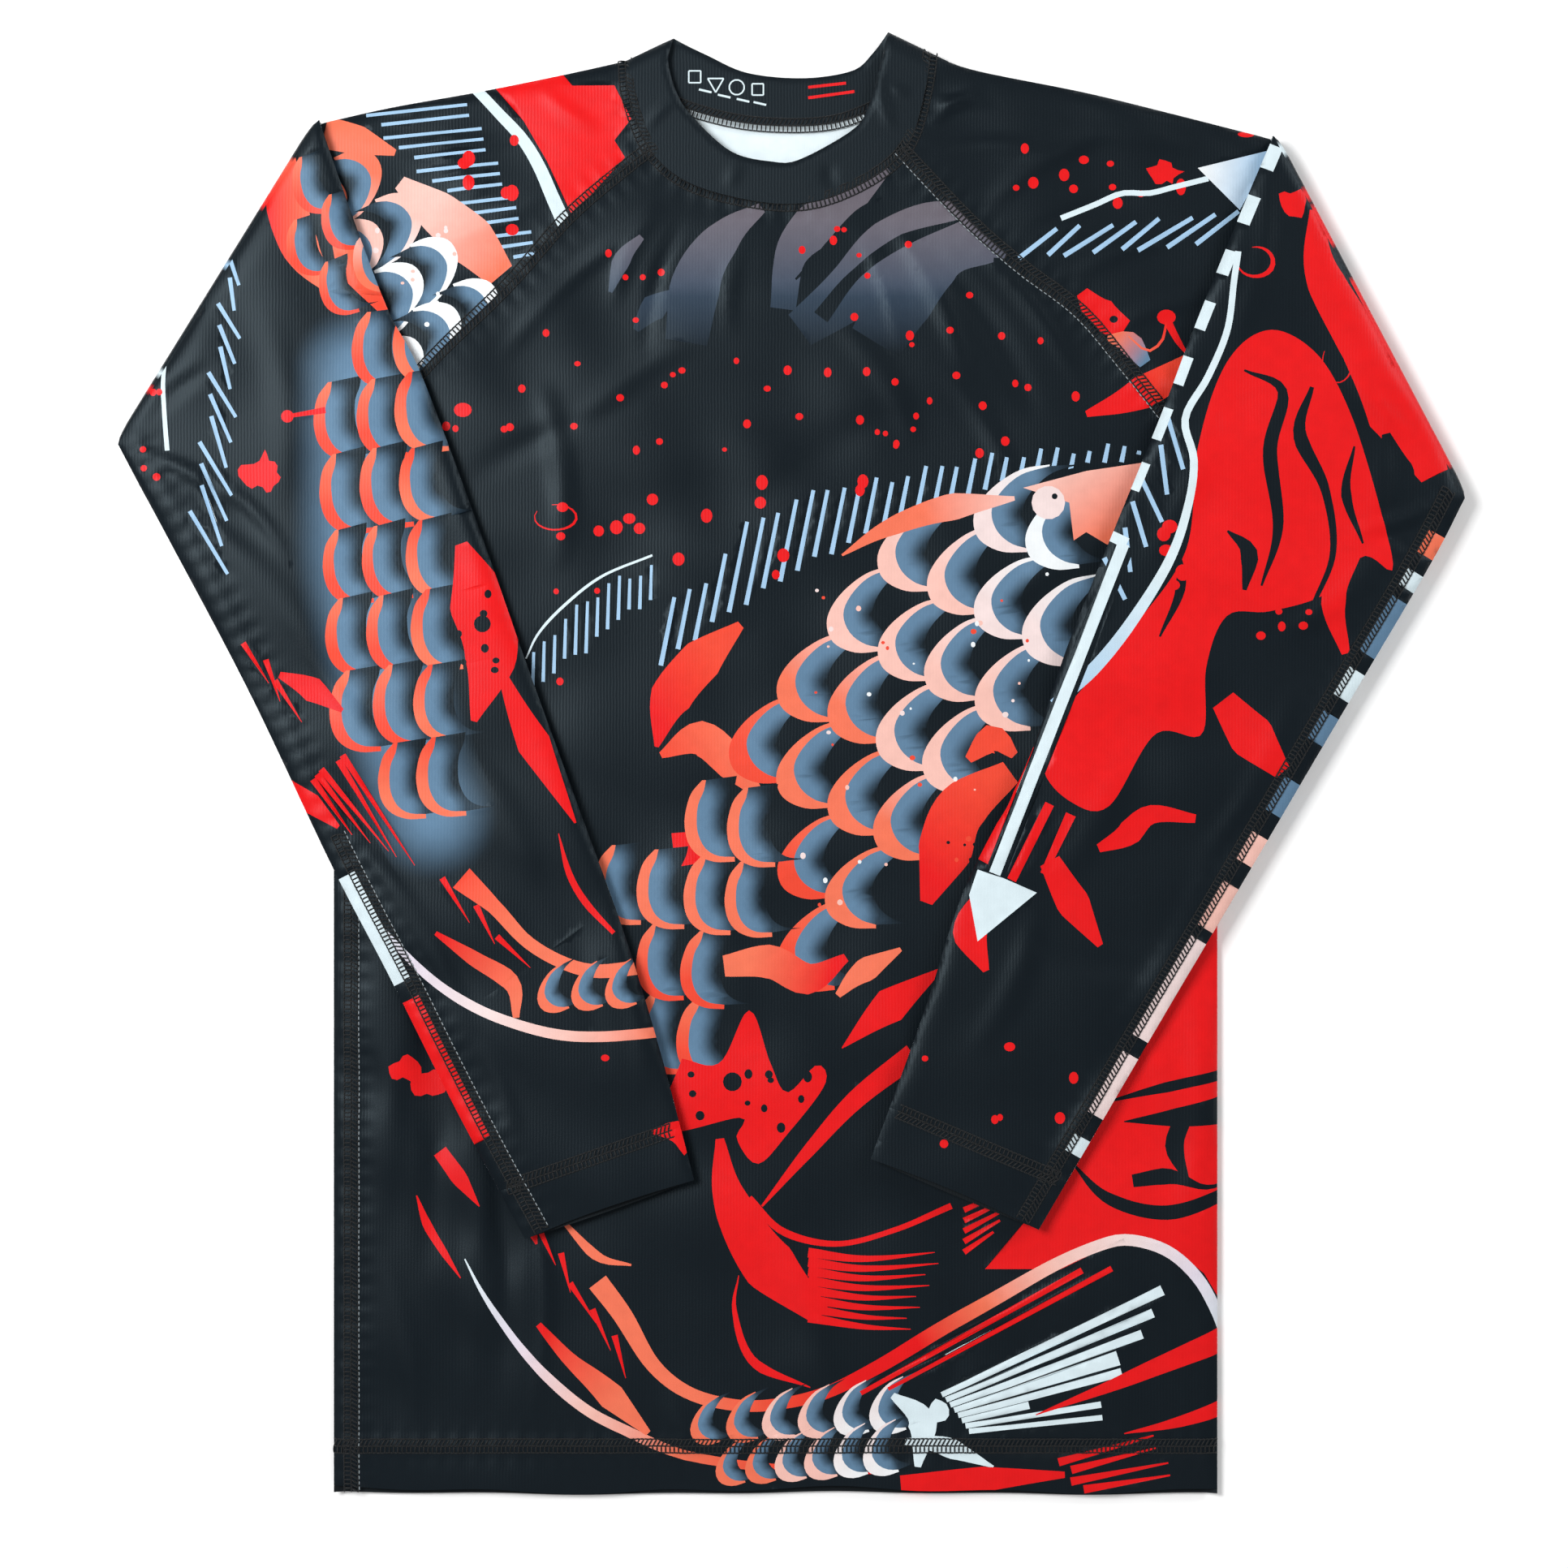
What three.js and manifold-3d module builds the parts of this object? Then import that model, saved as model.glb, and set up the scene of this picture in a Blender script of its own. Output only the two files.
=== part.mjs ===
// A long-sleeved raglan rash guard, lying on its back on a table with both sleeves folded over the front.
// Millimetres. +Z up, +Y towards the collar, +X towards the wearer's left sleeve. The origin is the middle of
// the whole outline, on the table. "right" and "left" are the wearer's, so the right sleeve is on the -X side.
//
// The cloth is knit that lies as flat, hollow tubes. The body and the upper sleeves are one such tube, on the
// table. Each lower sleeve is a second tube, folded over onto the first along a slanting line across the sleeve.
import * as THREE from "three";
import { mergeVertices } from "three/addons/utils/BufferGeometryUtils.js";
import Module from "manifold-3d";

const wasm = await Module();
wasm.setup();

const CLOTH = 0.9; // one layer of knit
const DOUBLE = 2 * CLOTH - 0.2; // two layers pressed together, in hems and in the collar
const SEAM_CLOTH = 1.2; // a flat seam, where both edges and the thread lie over each other
const LOFT = 8; // a flat tube of cloth, from its underside to its top
const EDGE = 3.6; // how round the tube is where the cloth turns back on itself
const EDGE_STEPS = 3;
const SEAM = 6.6; // width of a flat seam's thread
const GAP = 0.3; // between one sewn piece and the next
const BETWEEN = 1; // between the body and the sleeve that lies on it
const HEM = 24; // depth of the bottom hem
const CUFF = 26; // depth of a cuff's hem
const PAST = 15; // how far an outline runs on past an open end before it is cut there
const BEYOND = 60; // how far a dividing line runs on past the cloth that it divides
const TUCK = 6; // how far a raglan seam runs on past the armpit
const FAR = 1000; // further than any part of the garment
const FOLDED = LOFT + BETWEEN; // height at which a folded sleeve lies

const v = (x, y) => new THREE.Vector2(x, y);
const points = (list) => list.map(([x, y]) => v(x, y));
const STEP = 14; // distance between the points of a smooth outline
function smooth(list) {
  const curve = new THREE.SplineCurve(points(list));
  return curve.getSpacedPoints(Math.max(3, Math.round(curve.getLength() / STEP)));
}

// The pattern. Each outline runs from the neck or the armpit outwards, or from the fold down to the cuff.
const SIDES = {
  right: {
    shoulder: smooth([[-79, 334], [-106, 328], [-148, 319.5], [-190, 312], [-223.5, 304.5]]),
    armpit: v(-217.5, 135),
    underarm: smooth([[-217.5, 135], [-268, 141], [-318.5, 151]]),
    raglan: smooth([[-67, 292], [-77, 284.5], [-105.5, 260], [-136, 226], [-176, 186], [-217.5, 135]]),
    inner: smooth([[-223.5, 304.5], [-206, 254.5], [-190.5, 214], [-175, 184], [-148, 112], [-125, 46.5],
      [-102, -17], [-79, -80.5], [-61.5, -138], [-46, -197]]),
    outer: smooth([[-318.5, 151], [-308, 131], [-294.5, 106], [-256, 33], [-217.5, -48], [-190.5, -100],
      [-160, -161], [-126, -225]]),
  },
  left: {
    shoulder: smooth([[66, 338], [86, 330], [140, 319], [183, 308.5], [228, 297]]),
    armpit: v(205, 131),
    underarm: smooth([[205, 131], [262, 127], [318.5, 125.5]]),
    raglan: smooth([[52, 292], [65, 278], [86.5, 256], [109.5, 236], [136, 216], [157, 192], [205, 131]]),
    inner: smooth([[228, 297], [212, 259.5], [190, 205], [173, 160.5], [133, 62], [111.5, 0.5], [82, -59],
      [62.5, -118], [37.5, -187]]),
    outer: smooth([[318.5, 125.5], [301.5, 93], [256, 16], [209.5, -63], [176, -119.5], [117, -220.5]]),
  },
};
const RIGHT_EDGE = -217.5; // the body's side, on the wearer's right
const LEFT_EDGE = 202.5;
const HEM_END = -348;
const COLLAR_TIPS = [v(-56, 345), v(46, 348)]; // where the collar turns from front to back
const NECK_FRONT = smooth([[-79, 334], [-77, 316], [-67.5, 292], [-48, 275.5], [-13.5, 266.5], [13.5, 267.5],
  [40.5, 279.5], [56, 295], [63.5, 320], [66, 338]]);
const NECK_BACK = smooth([[-79, 334], [-68, 321], [-48, 311.5], [-21, 305], [9.5, 304], [31, 308.5],
  [53, 321], [66, 338]]);
const COLLAR_FRONT = smooth([[-56, 345], [-58.5, 334], [-55, 320], [-48, 308.5], [-29, 291], [-9.5, 286],
  [4, 287], [29, 301], [36.5, 312], [43, 335], [46, 348]]);
const COLLAR_BACK = smooth([[-56, 345], [-40.5, 337.5], [-21, 329], [6, 326.5], [29, 330], [38.5, 338],
  [46, 348]]);
const SIDE_SEAM_IN = 8.5; // the side seams lie this far in from the sides: right on the front, left on the back
const UNDERARM_SEAM_IN = 9; // and a sleeve's seam this far in from its lower edge
const SEAM_TURNS = -38; // height at which the right sleeve's seam turns over its edge

// Plane geometry.
const unit = (a, b) => b.clone().sub(a).normalize();
const turned = (d) => v(-d.y, d.x);
const along = (p, d, distance) => p.clone().addScaledVector(d, distance);
// The curve moved sideways, to its left where distance is above 0.
function beside(curve, distance) {
  return curve.map((p, i) => {
    const d = unit(curve[Math.max(0, i - 1)], curve[Math.min(curve.length - 1, i + 1)]);
    return along(p, turned(d), distance);
  });
}
// The curve with both ends run on in their own directions.
function longer(curve, before, after) {
  const n = curve.length;
  return [
    ...(before ? [along(curve[0], unit(curve[1], curve[0]), before)] : []),
    ...curve,
    ...(after ? [along(curve[n - 1], unit(curve[n - 2], curve[n - 1]), after)] : []),
  ];
}
const back = (curve) => [...curve].reverse();

// Solids.
function solid(geometry) {
  geometry.deleteAttribute("normal");
  geometry.deleteAttribute("uv");
  const merged = mergeVertices(geometry, 1e-4);
  return new wasm.Manifold(new wasm.Mesh({
    numProp: 3,
    vertProperties: merged.attributes.position.array,
    triVerts: new Uint32Array(merged.index.array),
  }));
}
function prism(outline, low, high) {
  const settings = { depth: high - low, bevelEnabled: false };
  return solid(new THREE.ExtrudeGeometry(new THREE.Shape(outline), settings).translate(0, 0, low));
}
const box = (x0, x1, y0, y1, low, high) => prism([v(x0, y0), v(x1, y0), v(x1, y1), v(x0, y1)], low, high);
// A band of the given width that follows a curve.
function ribbon(curve, width, low, high) {
  return prism([...beside(curve, -width / 2), ...back(beside(curve, width / 2))], low, high);
}
// A tube of cloth lying flat: its outline with round edges, inset by "wall" all round.
function pillow(outline, low, wall) {
  const round = EDGE - wall;
  const flat = LOFT - 2 * EDGE;
  const geometry = new THREE.ExtrudeGeometry(new THREE.Shape(outline), {
    depth: flat, bevelEnabled: true, bevelThickness: round, bevelSize: round, bevelOffset: -EDGE,
    bevelSegments: EDGE_STEPS,
  });
  return solid(geometry.translate(0, 0, low + EDGE));
}
const shell = (outline, low, wall) => pillow(outline, low, 0).subtract(pillow(outline, low, wall));

const pieces = {};
function cloth(name, manifold, color, roughness = 0.55) {
  const { numProp, vertProperties, triVerts } = manifold.getMesh();
  const positions = new Float32Array((vertProperties.length / numProp) * 3);
  for (let i = 0; i < positions.length / 3; i++) {
    positions.set(vertProperties.subarray(i * numProp, i * numProp + 3), i * 3);
  }
  const geometry = new THREE.BufferGeometry()
    .setAttribute("position", new THREE.BufferAttribute(positions, 3))
    .setIndex(new THREE.BufferAttribute(new Uint32Array(triVerts), 1));
  geometry.computeVertexNormals();
  const mesh = new THREE.Mesh(geometry, new THREE.MeshStandardMaterial({ color, roughness, metalness: 0 }));
  mesh.name = name;
  pieces[name] = mesh;
  return mesh;
}
const BLACK_KNIT = 0x17191c;
const RED_KNIT = 0xe3211f;
const CORAL_KNIT = 0xf0745a;
const THREAD = 0x0c0c0d;
const half = LOFT / 2;

// The body and the upper sleeves share one outline. It runs on past the hem, the folds and the neck, which are
// open.
const { right, left } = SIDES;
const outline = [
  v(RIGHT_EDGE, HEM_END - PAST), v(LEFT_EDGE, HEM_END - PAST), v(left.armpit.x, left.armpit.y),
  ...longer(left.underarm, 0, PAST).slice(1), ...back(longer(left.shoulder, 0, PAST)),
  COLLAR_TIPS[1], along(COLLAR_TIPS[1], v(0, 1), PAST), along(COLLAR_TIPS[0], v(0, 1), PAST), COLLAR_TIPS[0],
  ...longer(right.shoulder, 0, PAST), ...back(longer(right.underarm, 0, PAST)),
];
const singleLayer = shell(outline, 0, CLOTH);
const doubleLayer = shell(outline, 0, DOUBLE);
const seamLayer = shell(outline, 0, SEAM_CLOTH);

// Seams on the body: where each runs, and on which layer it lies.
const TOP = [half, LOFT];
const UNDER = [0, half];
const hemLine = HEM_END + HEM;
const hemSeam = [v(-FAR, hemLine), v(FAR, hemLine)];
const rightSeamX = RIGHT_EDGE + SIDE_SEAM_IN;
const leftSeamX = LEFT_EDGE - SIDE_SEAM_IN;
const rightSideSeam = [v(rightSeamX, hemLine), v(rightSeamX, right.armpit.y + BEYOND)];
const leftSideSeam = [v(leftSeamX, hemLine), v(leftSeamX, left.armpit.y + BEYOND)];
const neckFront = longer(NECK_FRONT, PAST, PAST);
const neckBack = longer(NECK_BACK, PAST, PAST);
const seamBand = (curve, [low, high]) => ribbon(curve, SEAM, low, high);
const seamRoom = (curve, [low, high]) => ribbon(curve, SEAM + 2 * GAP, low - GAP, high + GAP);

// Everything inside the neck seam belongs to the collar, on each layer.
const upward = (curve) => [...curve, v(curve[curve.length - 1].x, FAR), v(curve[0].x, FAR)];
const insideNeck = prism(upward(neckFront), half, FAR).add(prism(upward(neckBack), -FAR, half));
const neckRoom = seamRoom(neckFront, [half, FAR]).add(seamRoom(neckBack, [-FAR, half]));

// The sleeves' side of each raglan seam. The seam runs past the armpit, so that the cut goes right through.
function sleeveSide(side, sign) {
  const raglan = longer(side.raglan, 0, BEYOND);
  const end = raglan[raglan.length - 1];
  return prism(sign > 0
    ? [v(0, FAR), ...raglan, v(FAR, end.y), v(FAR, FAR)]
    : [v(0, FAR), v(-FAR, FAR), v(-FAR, end.y), ...back(raglan)], -FAR, FAR);
}
const sleeves = { right: sleeveSide(right, -1), left: sleeveSide(left, 1) };
const raglans = { right: longer(right.raglan, 0, TUCK), left: longer(left.raglan, 0, TUCK) };
const bothSleeves = sleeves.right.add(sleeves.left);
const raglanRoom = ["right", "left"].map((name) => seamRoom(raglans[name], [-GAP, LOFT + GAP]))
  .reduce((a, b) => a.add(b));
const aboveHem = box(-FAR, FAR, hemLine + SEAM / 2 + GAP, FAR, -FAR, FAR);
const belowHem = box(-FAR, FAR, HEM_END, hemLine - SEAM / 2 - GAP, -FAR, FAR);

// The front panel turns under at the wearer's left side, and the back panel turns up at the right side.
const trunk = singleLayer.intersect(aboveHem).subtract(bothSleeves).subtract(raglanRoom)
  .subtract(insideNeck).subtract(neckRoom)
  .subtract(seamRoom(rightSideSeam, TOP)).subtract(seamRoom(leftSideSeam, UNDER));
const frontSide = box(rightSeamX, FAR, -FAR, FAR, half, FAR).add(box(leftSeamX, FAR, -FAR, FAR, -FAR, FAR));
cloth("front_panel", trunk.intersect(frontSide), RED_KNIT);
cloth("back_panel", trunk.subtract(frontSide), BLACK_KNIT);
const sideStops = aboveHem.subtract(bothSleeves).subtract(raglanRoom);
cloth("right_side_seam", seamLayer.intersect(seamBand(rightSideSeam, TOP)).intersect(sideStops), THREAD);
cloth("left_side_seam", seamLayer.intersect(seamBand(leftSideSeam, UNDER)).intersect(sideStops), THREAD);
cloth("bottom_hem_band", doubleLayer.intersect(belowHem), BLACK_KNIT);
cloth("bottom_hem_stitching", seamLayer.intersect(seamBand(hemSeam, [-GAP, LOFT + GAP])), THREAD);

// The collar is one band, double, turned at its two tips. Its seam goes all round the neck.
const collarOnFront = prism([...NECK_FRONT, ...back(COLLAR_FRONT)], half, FAR);
const collarOnBack = prism([...NECK_BACK, ...back(COLLAR_BACK)], -FAR, half);
const collar = doubleLayer.intersect(collarOnFront.add(collarOnBack)).subtract(neckRoom);
cloth("collar_band", collar, BLACK_KNIT);
const neckBand = seamBand(neckFront, [half, FAR]).add(seamBand(neckBack, [-FAR, half]));
cloth("collar_seam", seamLayer.intersect(neckBand), THREAD);

// Raglan seams and upper sleeves.
function halfPlane(a, b) {
  // The side to the left of the line from a to b.
  const d = unit(a, b);
  const n = turned(d);
  return prism([along(a, d, -FAR), along(a, d, FAR), along(along(a, d, FAR), n, FAR),
    along(along(a, d, -FAR), n, FAR)], -FAR, FAR);
}
for (const [name, side] of Object.entries(SIDES)) {
  const [top, bottom] = [side.inner[0], side.outer[0]];
  const out = name === "right" ? turned(unit(top, bottom)).negate() : turned(unit(top, bottom));
  const insideFold = name === "right"
    ? halfPlane(along(top, out, -GAP), along(bottom, out, -GAP))
    : halfPlane(along(bottom, out, -GAP), along(top, out, -GAP));
  const seamIn = name === "right" ? -UNDERARM_SEAM_IN : UNDERARM_SEAM_IN;

  const raglanSeam = seamLayer.intersect(ribbon(raglans[name], SEAM, -GAP, LOFT + GAP))
    .subtract(neckRoom).subtract(insideNeck);
  const raglanParts = {
    front: raglanSeam.intersect(box(-FAR, FAR, -FAR, FAR, half + GAP / 2, FAR)),
    back: raglanSeam.intersect(box(-FAR, FAR, -FAR, FAR, -FAR, half - GAP / 2)),
  };
  for (const [face, part] of Object.entries(raglanParts)) {
    cloth(`${name}_raglan_seam_${face}`, part, THREAD);
  }

  const underarmSeam = longer(beside(side.underarm, seamIn), PAST, PAST);
  const sleeve = singleLayer.intersect(sleeves[name]).intersect(insideFold)
    .subtract(raglanRoom).subtract(insideNeck).subtract(neckRoom);
  cloth(`${name}_sleeve_upper`, sleeve.subtract(seamRoom(underarmSeam, TOP)), CORAL_KNIT);
  const upperSeam = seamLayer.intersect(seamBand(underarmSeam, TOP)).intersect(sleeves[name])
    .intersect(insideFold).subtract(raglanRoom);
  cloth(`${name}_underarm_seam_upper`, upperSeam, THREAD);

  // The lower sleeve, folded over. Its outline runs on past the fold and the cuff.
  const folded = name === "right"
    ? [...longer(side.inner, PAST, PAST), ...back(longer(side.outer, PAST, PAST))]
    : [...longer(side.outer, PAST, PAST), ...back(longer(side.inner, PAST, PAST))];
  const cuffEnd = [side.outer[side.outer.length - 1], side.inner[side.inner.length - 1]];
  const across = unit(...cuffEnd);
  const up = name === "right" ? turned(across) : turned(across).negate();
  const cuffLine = cuffEnd.map((p, i) => along(along(p, up, CUFF), across, i ? BEYOND : -BEYOND));
  const upwards = ([a, b]) => (name === "right" ? halfPlane(a, b) : halfPlane(b, a));
  const [openEnd, aboveCuff] = [upwards(cuffEnd), upwards(cuffLine)];
  const tube = (wall) => shell(folded, FOLDED, wall).intersect(insideFold).intersect(openEnd);
  const cuffRoom = ribbon(cuffLine, SEAM + 2 * GAP, 0, FAR);
  const onTop = [FOLDED + half, FOLDED + LOFT];
  const onUnder = [FOLDED, FOLDED + half];
  const sleeveSeam = longer(beside(side.outer, -seamIn), PAST, PAST);
  const knit = tube(CLOTH).intersect(aboveCuff).subtract(cuffRoom);
  const flat = tube(SEAM_CLOTH).intersect(aboveCuff).subtract(cuffRoom);
  if (name === "right") {
    // This sleeve's seam starts on the underside, and comes over the edge part of the way down.
    const below = (y) => box(-FAR, FAR, -FAR, y, 0, FAR);
    const above = (y) => box(-FAR, FAR, y, FAR, 0, FAR);
    const seamEnds = { over: SEAM_TURNS, under: SEAM_TURNS + 2 * SEAM };
    const rooms = seamRoom(sleeveSeam, onTop).intersect(below(seamEnds.over + GAP))
      .add(seamRoom(sleeveSeam, onUnder).intersect(above(seamEnds.under - GAP)));
    cloth("right_sleeve_lower", knit.subtract(rooms), CORAL_KNIT);
    const overSeam = flat.intersect(seamBand(sleeveSeam, onTop)).intersect(below(seamEnds.over));
    const underSeam = flat.intersect(seamBand(sleeveSeam, onUnder)).intersect(above(seamEnds.under));
    cloth("right_underarm_seam_lower", overSeam, THREAD);
    cloth("right_underarm_seam_under", underSeam, THREAD);
  } else {
    cloth("left_sleeve_lower", knit.subtract(seamRoom(sleeveSeam, onTop)), RED_KNIT);
    cloth("left_underarm_seam_lower", flat.intersect(seamBand(sleeveSeam, onTop)), THREAD);
  }
  cloth(`${name}_cuff_stitching`, tube(SEAM_CLOTH).intersect(ribbon(cuffLine, SEAM, 0, FAR)), THREAD);
  cloth(`${name}_cuff_band`, tube(DOUBLE).subtract(aboveCuff).subtract(cuffRoom), BLACK_KNIT);
}

const rashGuard = new THREE.Group();
for (const piece of Object.values(pieces)) rashGuard.add(piece);
export default rashGuard;
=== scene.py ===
"""A long-sleeved rash guard in printed swim knit, lying on its back with both sleeves folded over the front.

Lengths in the tables are millimetres in the row frame. "Right" and "left" are the wearer's.
"""
import math

import bpy
import numpy as np
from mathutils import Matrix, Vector
from mathutils.geometry import delaunay_2d_cdt


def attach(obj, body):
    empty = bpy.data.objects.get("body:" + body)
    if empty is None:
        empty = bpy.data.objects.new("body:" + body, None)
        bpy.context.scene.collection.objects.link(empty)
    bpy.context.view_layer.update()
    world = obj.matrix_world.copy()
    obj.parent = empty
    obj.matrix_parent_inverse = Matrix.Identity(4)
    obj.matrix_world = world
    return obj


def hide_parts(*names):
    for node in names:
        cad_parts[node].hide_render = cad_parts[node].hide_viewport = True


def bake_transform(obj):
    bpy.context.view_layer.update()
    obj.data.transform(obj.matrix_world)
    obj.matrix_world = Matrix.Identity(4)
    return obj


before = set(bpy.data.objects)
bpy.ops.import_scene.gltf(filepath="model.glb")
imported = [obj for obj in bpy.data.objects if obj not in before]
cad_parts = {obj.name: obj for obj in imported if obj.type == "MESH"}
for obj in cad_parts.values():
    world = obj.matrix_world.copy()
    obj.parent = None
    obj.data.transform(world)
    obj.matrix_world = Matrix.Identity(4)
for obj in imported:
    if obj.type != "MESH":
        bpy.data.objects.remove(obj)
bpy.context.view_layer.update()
MM = 0.001

# ---------------------------------------------------------------- sizes and the cut of the shirt
MIDDLE = 4.0        # height of the line where a flat tube of knit turns back on itself
LOFT = 3.0          # how far the front stands above that line
UNDER = 3.9         # how far the back hangs below it, down to the table
KNIT = 0.8          # one layer
BAND = 1.6          # two layers, in the collar, the cuffs and the hem
TURN = 9.0          # over how much of its width a tube rounds off towards an edge
FOLDED = 17.0       # a folded sleeve's top; its heights are the laid-out sleeve's, counted down from here
HEM_TOP, HEM_END = -324.0, -348.0
CUFF = 26.0
SEAM_IN = 9.0       # a sleeve's seam lies this far in from its lower edge
SEAM = 6.6          # how wide a flat seam is
STITCH = 2.05       # one stitch of it, along the seam
FINE, COARSE = 3.0, 5.0     # between a layer's points, where it is seen and where it lies underneath
FOLD_GAP = 0.4      # from the upper sleeve to the turn at the fold

SHOULDER = {"right": [(-79, 334), (-106, 328), (-148, 319.5), (-190, 312), (-223.5, 304.5)],
            "left": [(66, 338), (86, 330), (140, 319), (183, 308.5), (228, 297)]}
UNDERARM = {"right": [(-217.5, 135), (-268, 141), (-318.5, 151)],
            "left": [(205, 131), (262, 127), (318.5, 125.5)]}
RAGLAN = {"right": [(-67, 292), (-77, 284.5), (-105.5, 260), (-136, 226), (-176, 186), (-217.5, 135)],
          "left": [(52, 292), (65, 278), (86.5, 256), (109.5, 236), (136, 216), (157, 192), (205, 131)]}
INNER = {"right": [(-223.5, 304.5), (-206, 254.5), (-190.5, 214), (-175, 184), (-148, 112), (-125, 46.5),
                   (-102, -17), (-79, -80.5), (-61.5, -138), (-46, -197)],
         "left": [(228, 297), (212, 259.5), (190, 205), (173, 160.5), (133, 62), (111.5, 0.5), (82, -59),
                  (62.5, -118), (37.5, -187)]}
OUTER = {"right": [(-318.5, 151), (-308, 131), (-294.5, 106), (-256, 33), (-217.5, -48), (-190.5, -100),
                   (-160, -161), (-126, -225)],
         "left": [(318.5, 125.5), (301.5, 93), (256, 16), (209.5, -63), (176, -119.5), (117, -220.5)]}
RIGHT_EDGE, LEFT_EDGE = -217.5, 202.5
BODY_SIDE = {"right": [(RIGHT_EDGE, 135), (RIGHT_EDGE, HEM_END)],
             "left": [(205, 131), (LEFT_EDGE, 100), (LEFT_EDGE, HEM_END)]}
NECK_FRONT = [(-79, 334), (-77, 316), (-67.5, 292), (-48, 275.5), (-13.5, 266.5), (13.5, 267.5),
              (40.5, 279.5), (56, 295), (63.5, 320), (66, 338)]
NECK_BACK = [(-79, 334), (-68, 321), (-48, 311.5), (-21, 305), (9.5, 304), (31, 308.5), (53, 321), (66, 338)]
COLLAR_FRONT = [(-56, 345), (-58.5, 334), (-55, 320), (-48, 308.5), (-29, 291), (-9.5, 286), (4, 287),
                (29, 301), (36.5, 312), (43, 335), (46, 348)]
COLLAR_BACK = [(-56, 345), (-40.5, 337.5), (-21, 329), (6, 326.5), (29, 330), (38.5, 338), (46, 348)]
SIDE_SEAM = {"right": [(-209, 140), (-209, -346)], "left": [(194, 140), (194, -346)]}
SLEEVE_NECK = {"right": [(-79, 334), (-77, 316), (-67.5, 292)], "left": [(52, 292), (63.5, 320), (66, 338)]}


def smooth(points, step=5.0):
    """The points joined by one smooth line, which passes through them all, at an even spacing."""
    p = np.array(points, float)
    q = np.vstack([2 * p[0] - p[1], p, 2 * p[-1] - p[-2]])
    t = np.linspace(0, 1, 16, endpoint=False)[:, None]
    run = []
    for a, b, c, d in zip(q[:-3], q[1:-2], q[2:-1], q[3:]):
        run.append(0.5 * (2 * b + (c - a) * t + (2 * a - 5 * b + 4 * c - d) * t ** 2
                          + (3 * b - a - 3 * c + d) * t ** 3))
    fine = np.vstack(run + [p[-1:]])
    long = np.concatenate([[0], np.cumsum(np.linalg.norm(np.diff(fine, axis=0), axis=1))])
    at = np.linspace(0, long[-1], max(2, int(round(long[-1] / step)) + 1))
    return np.stack([np.interp(at, long, fine[:, i]) for i in (0, 1)], 1)


def straight(points, step=5.0):
    """The points joined by straight lines, at an even spacing."""
    p = np.array(points, float)
    long = np.concatenate([[0], np.cumsum(np.linalg.norm(np.diff(p, axis=0), axis=1))])
    at = np.unique(np.concatenate([np.linspace(0, long[-1], max(2, int(long[-1] / step) + 1)), long]))
    return np.stack([np.interp(at, long, p[:, i]) for i in (0, 1)], 1)


def beside(line, distance):
    """The line moved sideways, to its left where distance is above 0."""
    d = np.gradient(line, axis=0)
    d /= np.linalg.norm(d, axis=1)[:, None]
    return line + distance * np.stack([-d[:, 1], d[:, 0]], 1)


def near(points, line):
    """How far each point is from the line, and how far along the line its nearest place is."""
    best, place, done = np.full(len(points), 1e9), np.zeros(len(points)), 0.0
    for a, b in zip(line[:-1], line[1:]):
        d = b - a
        long = math.hypot(*d)
        if long < 1e-9:
            continue
        t = np.clip(((points - a) @ d) / long ** 2, 0, 1)
        off = np.hypot(points[:, 0] - a[0] - t * d[0], points[:, 1] - a[1] - t * d[1])
        closer = off < best
        best[closer], place[closer] = off[closer], done + t[closer] * long
        done += long
    return best, place


def inside(points, outline):
    """Which points lie inside the outline."""
    low, high = outline.min(0), outline.max(0)
    result = np.zeros(len(points), bool)
    maybe = np.where(((points >= low) & (points <= high)).all(1))[0]
    if not len(maybe):
        return result
    x, y = points[maybe].T
    hit = np.zeros(len(maybe), bool)
    for a, b in zip(outline, np.roll(outline, -1, 0)):
        if a[1] == b[1]:
            continue
        hit ^= ((a[1] > y) != (b[1] > y)) & (x < a[0] + (y - a[1]) * (b[0] - a[0]) / (b[1] - a[1]))
    result[maybe] = hit
    return result


# ---------------------------------------------------------------- colours of the print
def linear(code):
    """An sRGB hex colour as linear red, green and blue."""
    c = np.array([int(code[i:i + 2], 16) for i in (1, 3, 5)]) / 255
    return np.where(c <= 0.04045, c / 12.92, ((c + 0.055) / 1.055) ** 2.4)


INK = {name: linear(code) for name, code in {
    "black": "#0B1218", "red": "#E11214", "coral": "#EB7254", "deep_coral": "#E84730", "pink": "#EEBBAF",
    "blush": "#EBD6D4", "ice": "#D6E6EC", "sky": "#9FC2E0", "steel": "#5E7E9A", "mist": "#77707A",
    "dusk": "#3C4C60", "lilac": "#DDD4E1", "white": "#E9EDEF"}.items()}


def even(ink):
    return lambda p: np.tile(INK[ink], (len(p), 1))


def fade(first, last, start, end):
    """One ink at the start, another at the end, and a soft change between the two points."""
    s, d = np.array(start, float), np.array(end, float) - np.array(start, float)
    def paint(p):
        t = np.clip(((p - s) @ d) / (d @ d), 0, 1)[:, None]
        return INK[first] * (1 - t) + INK[last] * t
    return paint


def glow(line, ink, reach, core=0.25):
    """The ink along a line, which fades to black over the reach."""
    def paint(p):
        t = np.clip((near(p, line)[0] / reach - core) / (1 - core), 0, 1)[:, None]
        t = t * t * (3 - 2 * t)
        return INK[ink] * (1 - t) + INK["black"] * t
    return paint


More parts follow.
